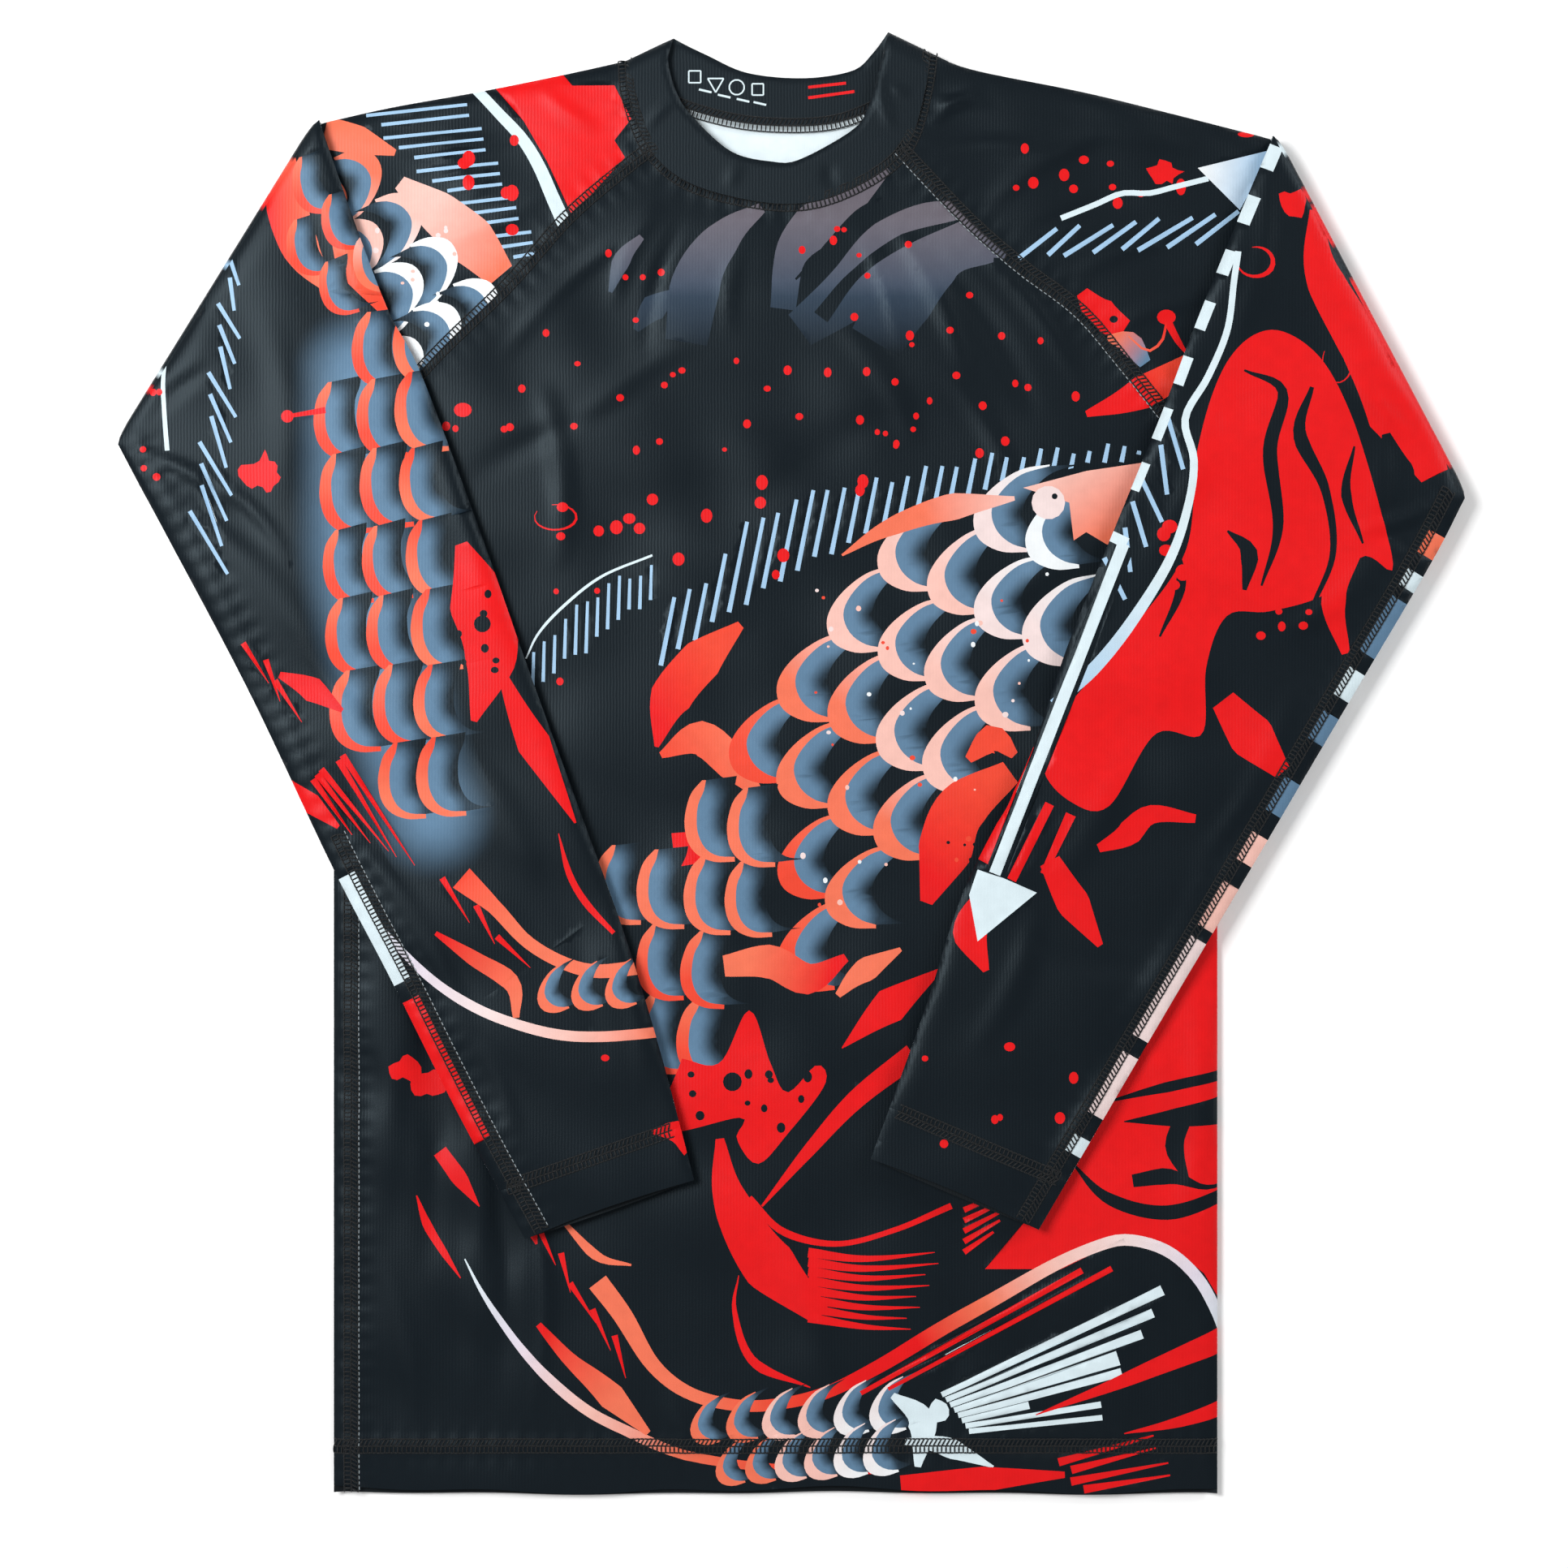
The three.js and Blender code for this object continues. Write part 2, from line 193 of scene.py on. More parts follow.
def along(line, inks):
    """Several inks one after another along a line, softly changing."""
    stops = np.array([INK[i] for i in inks])
    long = np.linalg.norm(np.diff(line, axis=0), axis=1).sum()
    def paint(p):
        at = near(p, line)[1] / long * (len(inks) - 1)
        return np.stack([np.interp(at, range(len(inks)), stops[:, i]) for i in range(3)], 1)
    return paint


def patch(ink, points, rounded=False):
    points = np.array(points, float)
    if rounded:
        points = smooth(np.vstack([points, points[:1]]), 3.0)[:-1]
    return points, ink if callable(ink) else even(ink)


def dot(x, y, across, up=None, ink="red"):
    turn = np.linspace(0, 2 * math.pi, 15)[:-1]
    return np.stack([x + across * np.cos(turn), y + (up or across) * np.sin(turn)], 1), even(ink)


def band(inks, centre, widths, step=4.0):
    """A curved stroke: its middle line, and its width at each of the line's points."""
    line = smooth(centre, step)
    at = np.linspace(0, 1, len(widths))
    width = np.interp(np.linspace(0, 1, len(line)), at, widths)[:, None] / 2
    d = np.gradient(line, axis=0)
    d /= np.linalg.norm(d, axis=1)[:, None]
    side = np.stack([-d[:, 1], d[:, 0]], 1) * width
    return np.vstack([line - side, (line + side)[::-1]]), along(line, inks)


def stroke(x0, y0, x1, y1, w0, w1, ink="sky"):
    return band([ink, ink], [(x0, y0), (x1, y1)], [w0, w1], 1000)


def ring(x, y, across, up, thick, ink="red"):
    """A thin loop, thickest at its lower right and open at its top left."""
    turn = np.radians(np.linspace(150, 460, 22))
    return band([ink, ink], list(zip(x + across * np.cos(turn), y + up * np.sin(turn))),
                [0.3, 0.8, thick, thick * 1.6, thick, 0.3], 2.5)


# One fish scale, about its left-most point: its rim's outer edge from the upper tip round to the lower one,
# and its inner edge back again.
WIDE = ([(33.8, 24.3), (21.7, 21.9), (11.3, 15.6), (3.8, 7.9), (0, 0), (0.8, -7.9), (5.1, -13.1), (14, -16.5),
         (25, -16.2)],
        [(24.9, -14.5), (17.8, -12.6), (11.6, -7.9), (8.3, -1.2), (8.7, 5.4), (13.8, 13.2), (21.7, 19.6),
         (33.8, 23.6)])
UPRIGHT = ([(9, 21), (3.6, 15), (0.8, 7), (0, 0), (1.4, -8), (5.8, -14), (13.5, -17.4), (23, -17.6)],
           [(23, -15.4), (15, -14.6), (9.3, -10.8), (6.2, -4), (5.8, 3), (6.8, 10), (9.6, 16), (10.8, 21)])


def scale(x, y, size=1.0, turn=0.0, rim=("pink", "pink"), form=WIDE):
    """A scale's rim, and its steel-blue inside, which fades to black away from the rim and at its tips."""
    c, s = math.cos(math.radians(turn)) * size, math.sin(math.radians(turn)) * size
    place = np.array([[c, s], [-s, c]])
    outer, inner = (smooth(np.array(edge, float) @ place + (x, y), 2.4) for edge in form)
    web = np.vstack([inner, (inner + np.array([14.5, 1.5]) @ place)[::-1]])
    long = np.linalg.norm(np.diff(inner, axis=0), axis=1).sum()

    def inside_of_scale(p):
        off, at = near(p, inner)
        ends = np.clip(np.minimum(at, long - at) / (9 * size), 0, 1)
        t = np.clip(1.35 - off / (9.5 * size), 0, 1) * (0.25 + 0.75 * ends)
        t = (t * t * (3 - 2 * t))[:, None]
        return INK["steel"] * t + INK["black"] * (1 - t)
    return [(web, inside_of_scale), (np.vstack([outer, inner]), along(outer, rim))]


def scale_field(region, origin, across, down, size, turn, form, inks, light):
    """Scales laid out evenly over a region, from left to right. Their inks change towards the light."""
    region, made = smooth(np.array(region + region[:1], float), 6), []
    low, high = region.min(0), region.max(0)
    places = [np.array(origin) + i * np.array(across) + j * np.array(down)
              for i in range(-16, 17) for j in range(-16, 17)]
    places = sorted((tuple(p) for p in places if inside(np.array([p]), region)[0]), key=lambda p: p[0])
    way = np.array(light, float) / math.hypot(*light)
    span = [float(np.dot(corner, way)) for corner in region]
    for n, (x, y) in enumerate(places):
        t = (np.dot((x, y), way) - min(span)) / (max(span) - min(span)) * (len(inks) - 1)
        first, last = inks[int(min(t, len(inks) - 1))], inks[int(min(t + 1, len(inks) - 1))]
        wobble = 1 + 0.04 * math.sin(2.1 * n)
        made += scale(x + 0.8 * math.sin(1.3 * n), y + 0.8 * math.cos(1.9 * n), size * wobble,
                      turn + 3 * math.sin(n), (last, first, first), form)
    return made


def hatch(lower, upper, spacing, lean, width, start, end):
    """Short strokes side by side, between a lower and an upper line."""
    lower, upper, made = np.array(lower, float), np.array(upper, float), []
    for i, x in enumerate(np.arange(start, end, spacing)):
        y0 = np.interp(x, lower[:, 0], lower[:, 1]) + 1.5 * math.sin(2.3 * i)
        y1 = np.interp(x, upper[:, 0], upper[:, 1]) + 2.2 * math.sin(1.7 * i + 1)
        made.append(stroke(x, y0, x + lean * (y1 - y0), y1, width, width * 0.8))
    return made


def rows(count, first, last, bend=0.0, w0=2.2, w1=1.9, ink="sky"):
    """Strokes side by side, changing evenly from the first one to the last."""
    a, b, made = np.array(first, float), np.array(last, float), []
    for i in range(count):
        waver = 2.4 * math.sin(2.1 * i) * np.array([1, 0.3, -0.8, 0.2])
        x0, y0, x1, y1 = a + (b - a) * i / (count - 1) + waver
        if bend:
            made.append(band([ink, ink], [(x0, y0), (x0 * 0.65 + x1 * 0.35 + bend, y0 * 0.7 + y1 * 0.3),
                                          (x0 * 0.35 + x1 * 0.65 - bend, y0 * 0.3 + y1 * 0.7), (x1, y1)],
                             [w0, w1], 3.0))
        else:
            made.append(stroke(x0, y0, x1, y1, w0, w1, ink))
    return made


def specks(seed, count, low, high, inks, sizes, within=None):
    """Small round specks, scattered between two corners. The seed fixes where they fall."""
    chance, made = np.random.default_rng(seed), []
    while len(made) < count:
        (x, y), r = chance.uniform(low, high), chance.uniform(*sizes)
        if within is None or inside(np.array([[x, y]]), within)[0]:
            made.append(dot(x, y, r, r * chance.uniform(0.8, 1.3), inks[int(chance.integers(len(inks)))]))
    return made


def splat(x, y, r, seed, ink="red", spikes=9, stretch=1.0):
    """A blot of ink with an uneven edge. The seed fixes its shape."""
    chance = np.random.default_rng(seed)
    turn = np.linspace(0, 2 * math.pi, 2 * spikes + 1)[:-1] + chance.uniform(-0.2, 0.2, 2 * spikes)
    reach = r * chance.uniform(0.6, 1.3, 2 * spikes)
    return patch(ink, np.stack([x + reach * np.cos(turn), y + stretch * reach * np.sin(turn)], 1), True)


def brush(ink, centre, widths):
    """A brush stroke in one ink, or painted with a function."""
    shape, paint = band(["red", "red"], centre, widths, 3.5)
    return shape, (ink if callable(ink) else even(ink))


def haze(p):
    """A faded grey, lightest under the collar."""
    y = p[:, 1:]
    light = np.clip((y - 222) / 36, 0, 1)
    middle = np.clip(1 - np.abs(y - 228) / 34, 0, 1)
    dark = np.clip((250 - y) / 44, 0, 1)
    return (INK["mist"] * light + INK["dusk"] * middle + INK["black"] * dark) * 0.72


def front_print():
    """A carp's flank with its fins and tail, splashes, hatching and specks."""
    art = [brush(haze, [(-50, 200), (-44, 232), (-30, 252), (-14, 264)], [20, 24, 18, 5]),
           brush(haze, [(-86, 224), (-80, 240), (-71, 250)], [2, 9, 3]),
           brush(haze, [(-74, 206), (-66, 216), (-54, 224)], [3, 13, 4]),
           brush(haze, [(-4, 216), (0, 242), (14, 258), (30, 270), (46, 282)], [12, 14, 22, 16, 3]),
           brush(haze, [(4, 206), (28, 224), (48, 244), (74, 254), (102, 242)], [18, 26, 30, 26, 5]),
           brush(haze, [(40, 200), (54, 222), (74, 240), (96, 240)], [26, 30, 22, 4]),
           brush("black", [(14, 212), (30, 232), (52, 248), (80, 258)], [8, 5, 6, 1]),
           brush("black", [(2, 230), (16, 244), (32, 262), (50, 272)], [1, 4, 3, 1]),
           brush("black", [(-26, 206), (-28, 228), (-18, 244)], [5, 6, 1])]
    art += specks(21, 18, (-166, 148), (-20, 212), ["red"], (1.2, 2.0))
    art += specks(22, 25, (-20, 146), (146, 204), ["red"], (1.2, 2.1))
    art += specks(23, 14, (-90, 205), (86, 262), ["red"], (1.2, 1.9))
    art += specks(24, 8, (-112, 96), (-50, 132), ["red"], (1.6, 3.2))
    art += specks(25, 6, (-140, 30), (-60, 96), ["red"], (1.2, 2.0))
    art += [ring(-112, 117, 10, 6, 0.8), dot(-156, 168, 4.3, 3.4)]
    art += hatch([(-124, 30), (-110, 48), (-97, 54), (-84, 68), (-66, 78)],
                 [(-124, 50), (-107, 70), (-86, 86), (-66, 93)], 5.1, 0.03, 1.7, -123, -66)
    art += hatch([(-64, 45), (-47, 59), (-40, 65), (-18, 79), (7, 95), (32, 107), (60, 119), (86, 129),
                  (119, 138), (148, 143), (170, 146)],
                 [(-64, 76), (-47, 86), (-40, 96), (-31, 112), (-12, 122), (13, 132), (46, 136), (79, 144),
                  (114, 148), (170, 151)], 8.1, 0.2, 2.3, -62, 170)
    art += [band(["ice", "ice"], [(-126, 50), (-120, 62), (-108, 75), (-90, 89), (-66, 99)],
                 [0.7, 1.4, 1.4, 1.2, 1.1])]
    art += specks(26, 16, (-50, 84), (100, 138), ["red"], (1.8, 3.2))
    # The flank. Behind its scales it is black, so that the hatching stops at its edge.
    flank = [(-40, 56), (-14, 80), (20, 98), (60, 116), (100, 130), (150, 140), (160, 96), (140, 50),
             (112, -6), (92, -50), (60, -88), (20, -108), (-20, -100), (-30, -60), (-38, -10)]
    art += [patch("black", flank, True),
            brush(fade("red", "deep_coral", (-62, 20), (-30, 44)),
                  [(-64, 8), (-58, 30), (-44, 48), (-24, 66)], [2, 20, 20, 4]),
            brush(fade("deep_coral", "coral", (-60, 4), (-24, 20)),
                  [(-62, 4), (-44, 12), (-30, 2), (-14, -16)], [3, 17, 16, 3])]
    art += scale_field([(-34, 44), (-8, 70), (14, 88), (44, 104), (80, 120), (112, 124), (128, 106),
                        (124, 64), (108, 30), (92, 0), (62, -22), (46, -50), (26, -84), (-14, -90),
                        (-26, -52), (-32, -6)],
                       (17, 26), (23, -12), (23.5, 31), 1.03, 0, WIDE,
                       ["deep_coral", "coral", "coral", "pink", "pink", "blush", "white", "ice"], (1, 0.45))
    art += [band(["coral", "coral", "pink"], [(24, 99), (44, 111), (72, 121), (106, 126)], [1, 9, 13, 2]),
            patch(fade("coral", "pink", (150, 108), (128, 140)),
                  [(110, 131), (140, 139), (174, 144), (166, 118), (150, 104), (140, 110), (134, 106),
                   (132, 124)]),
            dot(122, 124, 8, 8, "blush"), dot(125, 127, 1.4, 1.4, "black"),
            brush(fade("red", "deep_coral", (62, -50), (92, -6)),
                  [(64, -66), (72, -44), (80, -22), (104, -4)], [6, 26, 24, 12]),
            brush("deep_coral", [(84, 2), (96, 12), (106, 4)], [4, 14, 4]),
            brush(fade("coral", "red", (-20, -95), (18, -104)),
                  [(-32, -96), (-10, -94), (8, -102), (26, -92)], [10, 16, 15, 4]),
            brush("coral", [(22, -110), (32, -100), (52, -88)], [3, 12, 2])]
    art += specks(27, 7, (68, -60), (90, -36), ["black"], (0.7, 1.2))
    art += [patch("red", [(-57, -33), (-44, -32), (-42, -47), (-55, -49)])]
    art += scale_field([(-98, -52), (-60, -30), (-20, -34), (-24, -76), (-44, -86), (-46, -134), (-76, -140),
                        (-86, -90)], (-73, -62), (21, -2), (-1, -34), 0.98, 0, UPRIGHT,
                       ["deep_coral", "coral", "coral"], (0, 1))
    # A red splash with black specks, and the red fin under it.
    blot = np.array([(-52, -140), (-34, -142), (-20, -117), (-10, -142), (-2, -156), (12, -143), (16, -152),
                     (-2, -176), (-16, -190), (-26, -178), (-24, -168), (-62, -174)], float)
    art += [patch("red", blot, True)] + specks(28, 11, (-52, -186), (8, -146), ["black"], (1.4, 2.2), blot)
    art += [dot(-28, -151, 4.5, 4.5, "black"),
            brush("red", [(-34, -178), (-30, -204), (-14, -234), (14, -262)], [4, 18, 26, 10]),
            brush("red", [(-14, -210), (8, -184), (30, -160), (58, -138)], [1, 6, 9, 11]),
            brush("red", [(24, -135), (44, -117), (72, -97)], [0.5, 17, 1]),
            brush("red", [(-20, -206), (-4, -222), (22, -228), (50, -221), (76, -210)],
                  [3, 3.5, 2.5, 2.5, 3]),
            brush("red", [(-25, -243), (-27, -260), (-18, -284), (9, -296)], [0.4, 3, 4.6, 0.5])]
    for i in range(8):
        art.append(brush("red", [(8, -232 - 4.4 * i), (34, -235 - 4.6 * i),
                                 (68 - 2.2 * i + 4 * (i % 2), -232 - 5.2 * i)],
                         [4.6, 2.8, 0.4]))
    art += [stroke(82, -212 - 5 * i, 108 - 3 * i, -200 - 5.6 * i, 2.8, 1.2, "red") for i in range(5)]
    # The wearer's left side is red, with black brush strokes.
    art += [patch("red", [(208, -60), (208, -262), (196, -242), (180, -229), (158, -225), (128, -240),
                          (92, -240), (112, -216), (136, -186), (165, -135), (190, -95)]),
            brush("black", [(148, -161), (176, -154), (208, -147)], [0.5, 5, 5]),
            brush("black", [(132, -188), (150, -206), (178, -213), (208, -204)], [0.5, 6, 7, 6]),
            brush("black", [(158, -170), (182, -168), (208, -164)], [0.5, 9, 14]),
            brush("black", [(162, -198), (180, -196), (196, -201), (208, -199)], [6, 8, 3, 1]),
            brush("black", [(186, -168), (182, -182), (188, -198)], [8, 9, 2])]
    # The tail: its outline sweeps right across the shirt above the hem, and its rays spread to the left side.
    art += [band(["coral", "coral", "coral", "deep_coral", "red", "red",
                  "coral", "pink", "blush", "lilac", "ice"],
                 [(-92, -246), (-80, -262), (-66, -285), (-50, -298), (-30, -304), (-10, -304.5), (15, -299),
                  (40, -287), (70, -269), (100, -252), (125, -238), (145, -229), (160, -226), (178, -231),
                  (192, -243), (201, -258), (208, -276)],
                 [10, 9, 7, 6, 5.5, 5.5, 6, 6.5, 7, 7, 6.5, 6, 5.5, 5.5, 5.5, 5.5, 5]),
            band(["ice", "lilac", "pink", "coral", "deep_coral", "red"],
                 [(-155, -235), (-146, -252), (-132, -273), (-115, -292), (-97, -307), (-78, -317),
                  (-55, -327), (-30, -332), (0, -335), (38, -337)], [0.6, 2.6, 4, 5, 5, 5, 4.6, 4, 2.6, 0.8])]
    for i in range(6):
        inks = [("coral", "coral"), ("pink", "pink"), ("blush", "white")][i // 2]
        art += scale(-48 + 17 * i, -317 + 1.2 * i, 0.52 + 0.02 * i, 16, inks)
        art += scale(-36 + 14 * i, -337 + 1.2 * i, 0.5 + 0.02 * i, 16, inks)
    for i in range(8):
        a, far = math.radians(25.5 - 2.9 * i), (142, 134, 126, 112, 112, 66, 100, 100)[i]
        art.append(stroke(48 + 26 * math.cos(a) + 1.5 * i, -311 + 26 * math.sin(a) - 1.2 * i,
                          48 + far * math.cos(a), -311 + far * math.sin(a) - 1.2 * i, 2.6,
                          (5, 4.4, 4.4, 7, 4, 3.6, 3, 2.6)[i], "ice"))
    art += [brush("ice", [(48, -300), (62, -312), (60, -334)], [3, 14, 3]),
            brush("ice", [(54, -322), (72, -324), (96, -334)], [3, 10, 1]), splat(70, -309, 6, 32, "ice", 5),
            stroke(33, -299, 138, -240.5, 2.2, 3, "red"), stroke(46, -297, 152, -239.5, 1.8, 2.8, "red"),
            brush("red", [(116, -309), (160, -292), (208, -272)], [0.5, 7, 12]),
            brush("red", [(158, -318), (182, -313), (208, -305)], [0.5, 5, 8]),
            brush("red", [(52, -343), (90, -340), (130, -338)], [10, 12, 3])]
    art += rows(4, (127, -332, 172, -319), (139, -345, 180, -338), 0, 4, 0.8, "red")
    # Marks beside the tail.
    art += [brush(fade("red", "coral", (-118, -268), (-80, -300)),
                  [(-120, -266), (-106, -282), (-90, -296), (-68, -318)], [3, 7, 13, 3]),
            brush("coral", [(-108, -218), (-92, -234), (-76, -238)], [2, 5, 1]),
            brush("red", [(-178, -205), (-173, -219), (-165, -232), (-157, -244)], [0.6, 4.4, 3.6, 0.5]),
            splat(-182, -144, 8, 33, "red", 5), splat(-172, -152, 7, 34, "red", 5),
            brush("red", [(-167, -184), (-158, -196), (-148, -210)], [7, 8, 0.5]),
            brush("red", [(-133, -206), (-126, -214), (-121, -228)], [7, 9, 1])]
    art += rows(5, (-120, -220, -112, -238), (-86, -272, -77, -292), 0, 3, 0.3, "red")
    art += [brush("red", [(140, 166), (162, 174), (192, 190)], [3, 16, 12])]
    return art + specks(11, 46, (2, -70), (124, 100), ["pink", "blush", "deep_coral", "white"], (0.5, 1.5))


def right_upper_print():
    art = [patch("red", [(-145, 326), (-112, 332), (-104, 322), (-84, 322), (-76, 306), (-84, 296),
                         (-79, 288), (-104, 260), (-116, 286), (-127, 305)]),
           band(["ice", "ice"],
                [(-154, 325), (-140, 310), (-128, 297), (-120, 284), (-113, 268), (-104, 248)],
                [5, 5, 5.5, 6, 6.5, 7])]
    art += rows(14, (-202, 308, -154, 313), (-134, 240, -120, 242), 0, 1.7, 1.5)
    art += specks(41, 7, (-165, 250), (-130, 310), ["red"], (2, 3.4))
    art += [brush(fade("coral", "pink", (-138, 236), (-172, 262)),
                  [(-186, 276), (-168, 262), (-152, 248), (-138, 232)], [7, 20, 24, 14]),
            brush("coral", [(-222, 300), (-206, 296), (-188, 290)], [16, 14, 3])]
    art += scale_field([(-222, 300), (-190, 286), (-168, 256), (-138, 226), (-158, 190), (-206, 190),
                        (-216, 250)],
                       (-176, 262), (-18, 20), (17, 13), 0.78, 200, WIDE, ["coral", "pink", "white", "white"],
                       (1, -1))
    return art + specks(5, 12, (-200, 205), (-160, 262), ["pink", "white", "blush"], (0.8, 1.6))


def left_upper_print():
    art = specks(51, 10, (100, 256), (170, 304), ["red"], (1.5, 2.6))
    art += [splat(177, 281, 7.5, 52, "red", 7, 0.75), dot(185, 274, 2.4, 4), dot(216, 299, 4, 1.5),
            band(["ice", "ice"], [(128, 259), (145, 266), (157, 271), (170, 271), (182, 274), (198, 278)],
                 [2.6, 2.6])]
    art += rows(8, (108, 240, 126, 254), (190, 246, 214, 262), 0, 2.3, 2.1)
    art += [patch(fade("white", "sky", (196, 284), (222, 280)), [(193, 283), (230, 292), (213, 263)]),
            brush("red", [(138, 224), (146, 214), (158, 206)], [6, 16, 10]), dot(153, 211, 2.0, 1.7, "black"),
            brush(fade("coral", "steel", (152, 200), (166, 190)), [(150, 202), (160, 200), (168, 190)],
                  [3, 12, 6]),
            dot(178, 212, 4.5, 3.5), brush("red", [(178, 211), (184, 200), (190, 192)], [4, 3, 0.4]),
            band(["red", "coral"], [(178, 210), (176, 201), (169, 196), (160, 203)], [1, 1.4, 1.2, 0.6]),
            brush(fade("deep_coral", "red", (186, 190), (160, 174)), [(140, 166), (162, 174), (192, 190)],
                  [3, 16, 12])]
    return art


def edge_pieces(side, pieces):
    """Stretches of the back's print that come round a sleeve's lower edge: from, to and ink, along it."""
    line, made = smooth(OUTER[side], 3.0), []
    inward = 1 if side == "right" else -1
    long = np.concatenate([[0], np.cumsum(np.linalg.norm(np.diff(line, axis=0), axis=1))])
    for start, end, ink in pieces:
        part = line[(long >= start) & (long <= end)]
        if len(part) > 2:
            made.append((np.vstack([beside(part, -3 * inward), beside(part, inward * SEAM_IN)[::-1]]),
                         even(ink)))
    return made


def right_lower_print():
    halo = smooth([(-205, 185), (-205, 140), (-205, 100), (-196, 60), (-188, 30), (-180, 0), (-170, -24)], 6)
    art = [brush(glow(halo, "steel", 33, 0.1), [(-202, 222), (-205, 185), (-205, 140), (-205, 100),
                                                (-196, 60), (-180, 0), (-165, -30), (-145, -62), (-122, -94)],
                 [64, 66, 66, 66, 66, 66, 60, 60, 60]),
           brush(fade("red", "coral", (-248, 250), (-224, 250)),
                 [(-240, 288), (-238, 262), (-230, 240), (-218, 226)], [10, 20, 18, 8]),
           brush(fade("coral", "deep_coral", (-214, 250), (-200, 216)),
                 [(-216, 262), (-206, 238), (-190, 214)], [6, 20, 8])]
    art += scale_field([(-250, 262), (-238, 300), (-206, 252), (-184, 214), (-214, 210), (-240, 236)],
                       (-236, 270), (15, -18), (-2, -30), 0.72, 12, UPRIGHT,
                       ["deep_coral", "coral", "pink"], (1, 0))
    art += rows(12, (-266, 240, -261, 226), (-282, 120, -268, 90), 0, 2.1, 1.6)
    art += [band(["ice", "ice"], [(-296, 195), (-297, 178), (-296, 160), (-295, 148)], [2, 2.2])]
    art += scale_field([(-226, 196), (-178, 200), (-176, 150), (-170, 100), (-168, 50), (-160, 10),
                        (-156, -34), (-186, -34), (-206, 0), (-222, 34), (-226, 80), (-240, 130)],
                       (-206, 160), (19.5, 2), (-2, 34), 0.98, 6, UPRIGHT,
                       ["deep_coral", "coral", "deep_coral"], (1, 0))
    art += [splat(-250, 138, 9, 61, "red", 7), dot(-238, 164, 3, 3),
            stroke(-238, 164, -220, 167, 1.6, 3, "red"),
            brush("red", [(-156, 104), (-148, 80), (-142, 52), (-150, 20)], [6, 30, 24, 3]),
            brush("red", [(-139, 48), (-126, 18), (-102, -28)], [2, 16, 1]),
            band(["red", "red"], [(-110, -33), (-105, -52), (-97, -66), (-84, -80)], [0.4, 3, 3.4, 2]),
            brush("red", [(-242, 42), (-228, 36), (-212, 25)], [3, 12, 2]),
            brush("red", [(-240, -8), (-228, -18), (-214, -30)], [4, 10, 2]), dot(-146, 66, 4, 4, "black")]
    art += specks(62, 7, (-160, 32), (-136, 84), ["black"], (1.3, 2))
    art += rows(3, (-259, 57, -247, 38), (-242, 40, -233, 20), 0, 2.8, 0.3, "red")
    art += rows(5, (-212, 4, -178, -48), (-228, -8, -206, -34), 0, 3.2, 0.3, "red")
    art += rows(3, (-165, -54, -152, -75), (-137, -81, -125, -96), 0, 3, 0.3, "red")
    art += [band(["deep_coral", "coral", "coral", "coral"],
                 [(-156, -54), (-140, -68), (-125, -84), (-108, -94), (-92, -98), (-70, -96)],
                 [12, 7, 6, 6, 6.5, 7]),
            band(["ice", "lilac", "blush", "pink", "coral"],
                 [(-205, -64), (-188, -84), (-170, -102), (-150, -115), (-130, -123), (-110, -128),
                  (-90, -129), (-64, -127)], [0.6, 3, 4, 4.6, 4.8, 5, 5, 5]),
            brush(fade("red", "coral", (-166, -82), (-128, -110)),
                  [(-168, -80), (-150, -92), (-132, -104), (-130, -120)], [2, 7, 9, 3])]
    for i in range(3):
        art += scale(-120 + 16 * i, -112 + i, 0.52, 20, ("coral", "coral"))
    art += [brush("red", [(-66, -174), (-54, -174), (-46, -180)], [2, 10, 14]), dot(-88, -139, 2, 1.6)]
    art += edge_pieces("right", [(228, 290, "ice"), (296, 372, "red")])
    return art + specks(63, 5, (-310, 132), (-290, 176), ["red"], (1.4, 2))


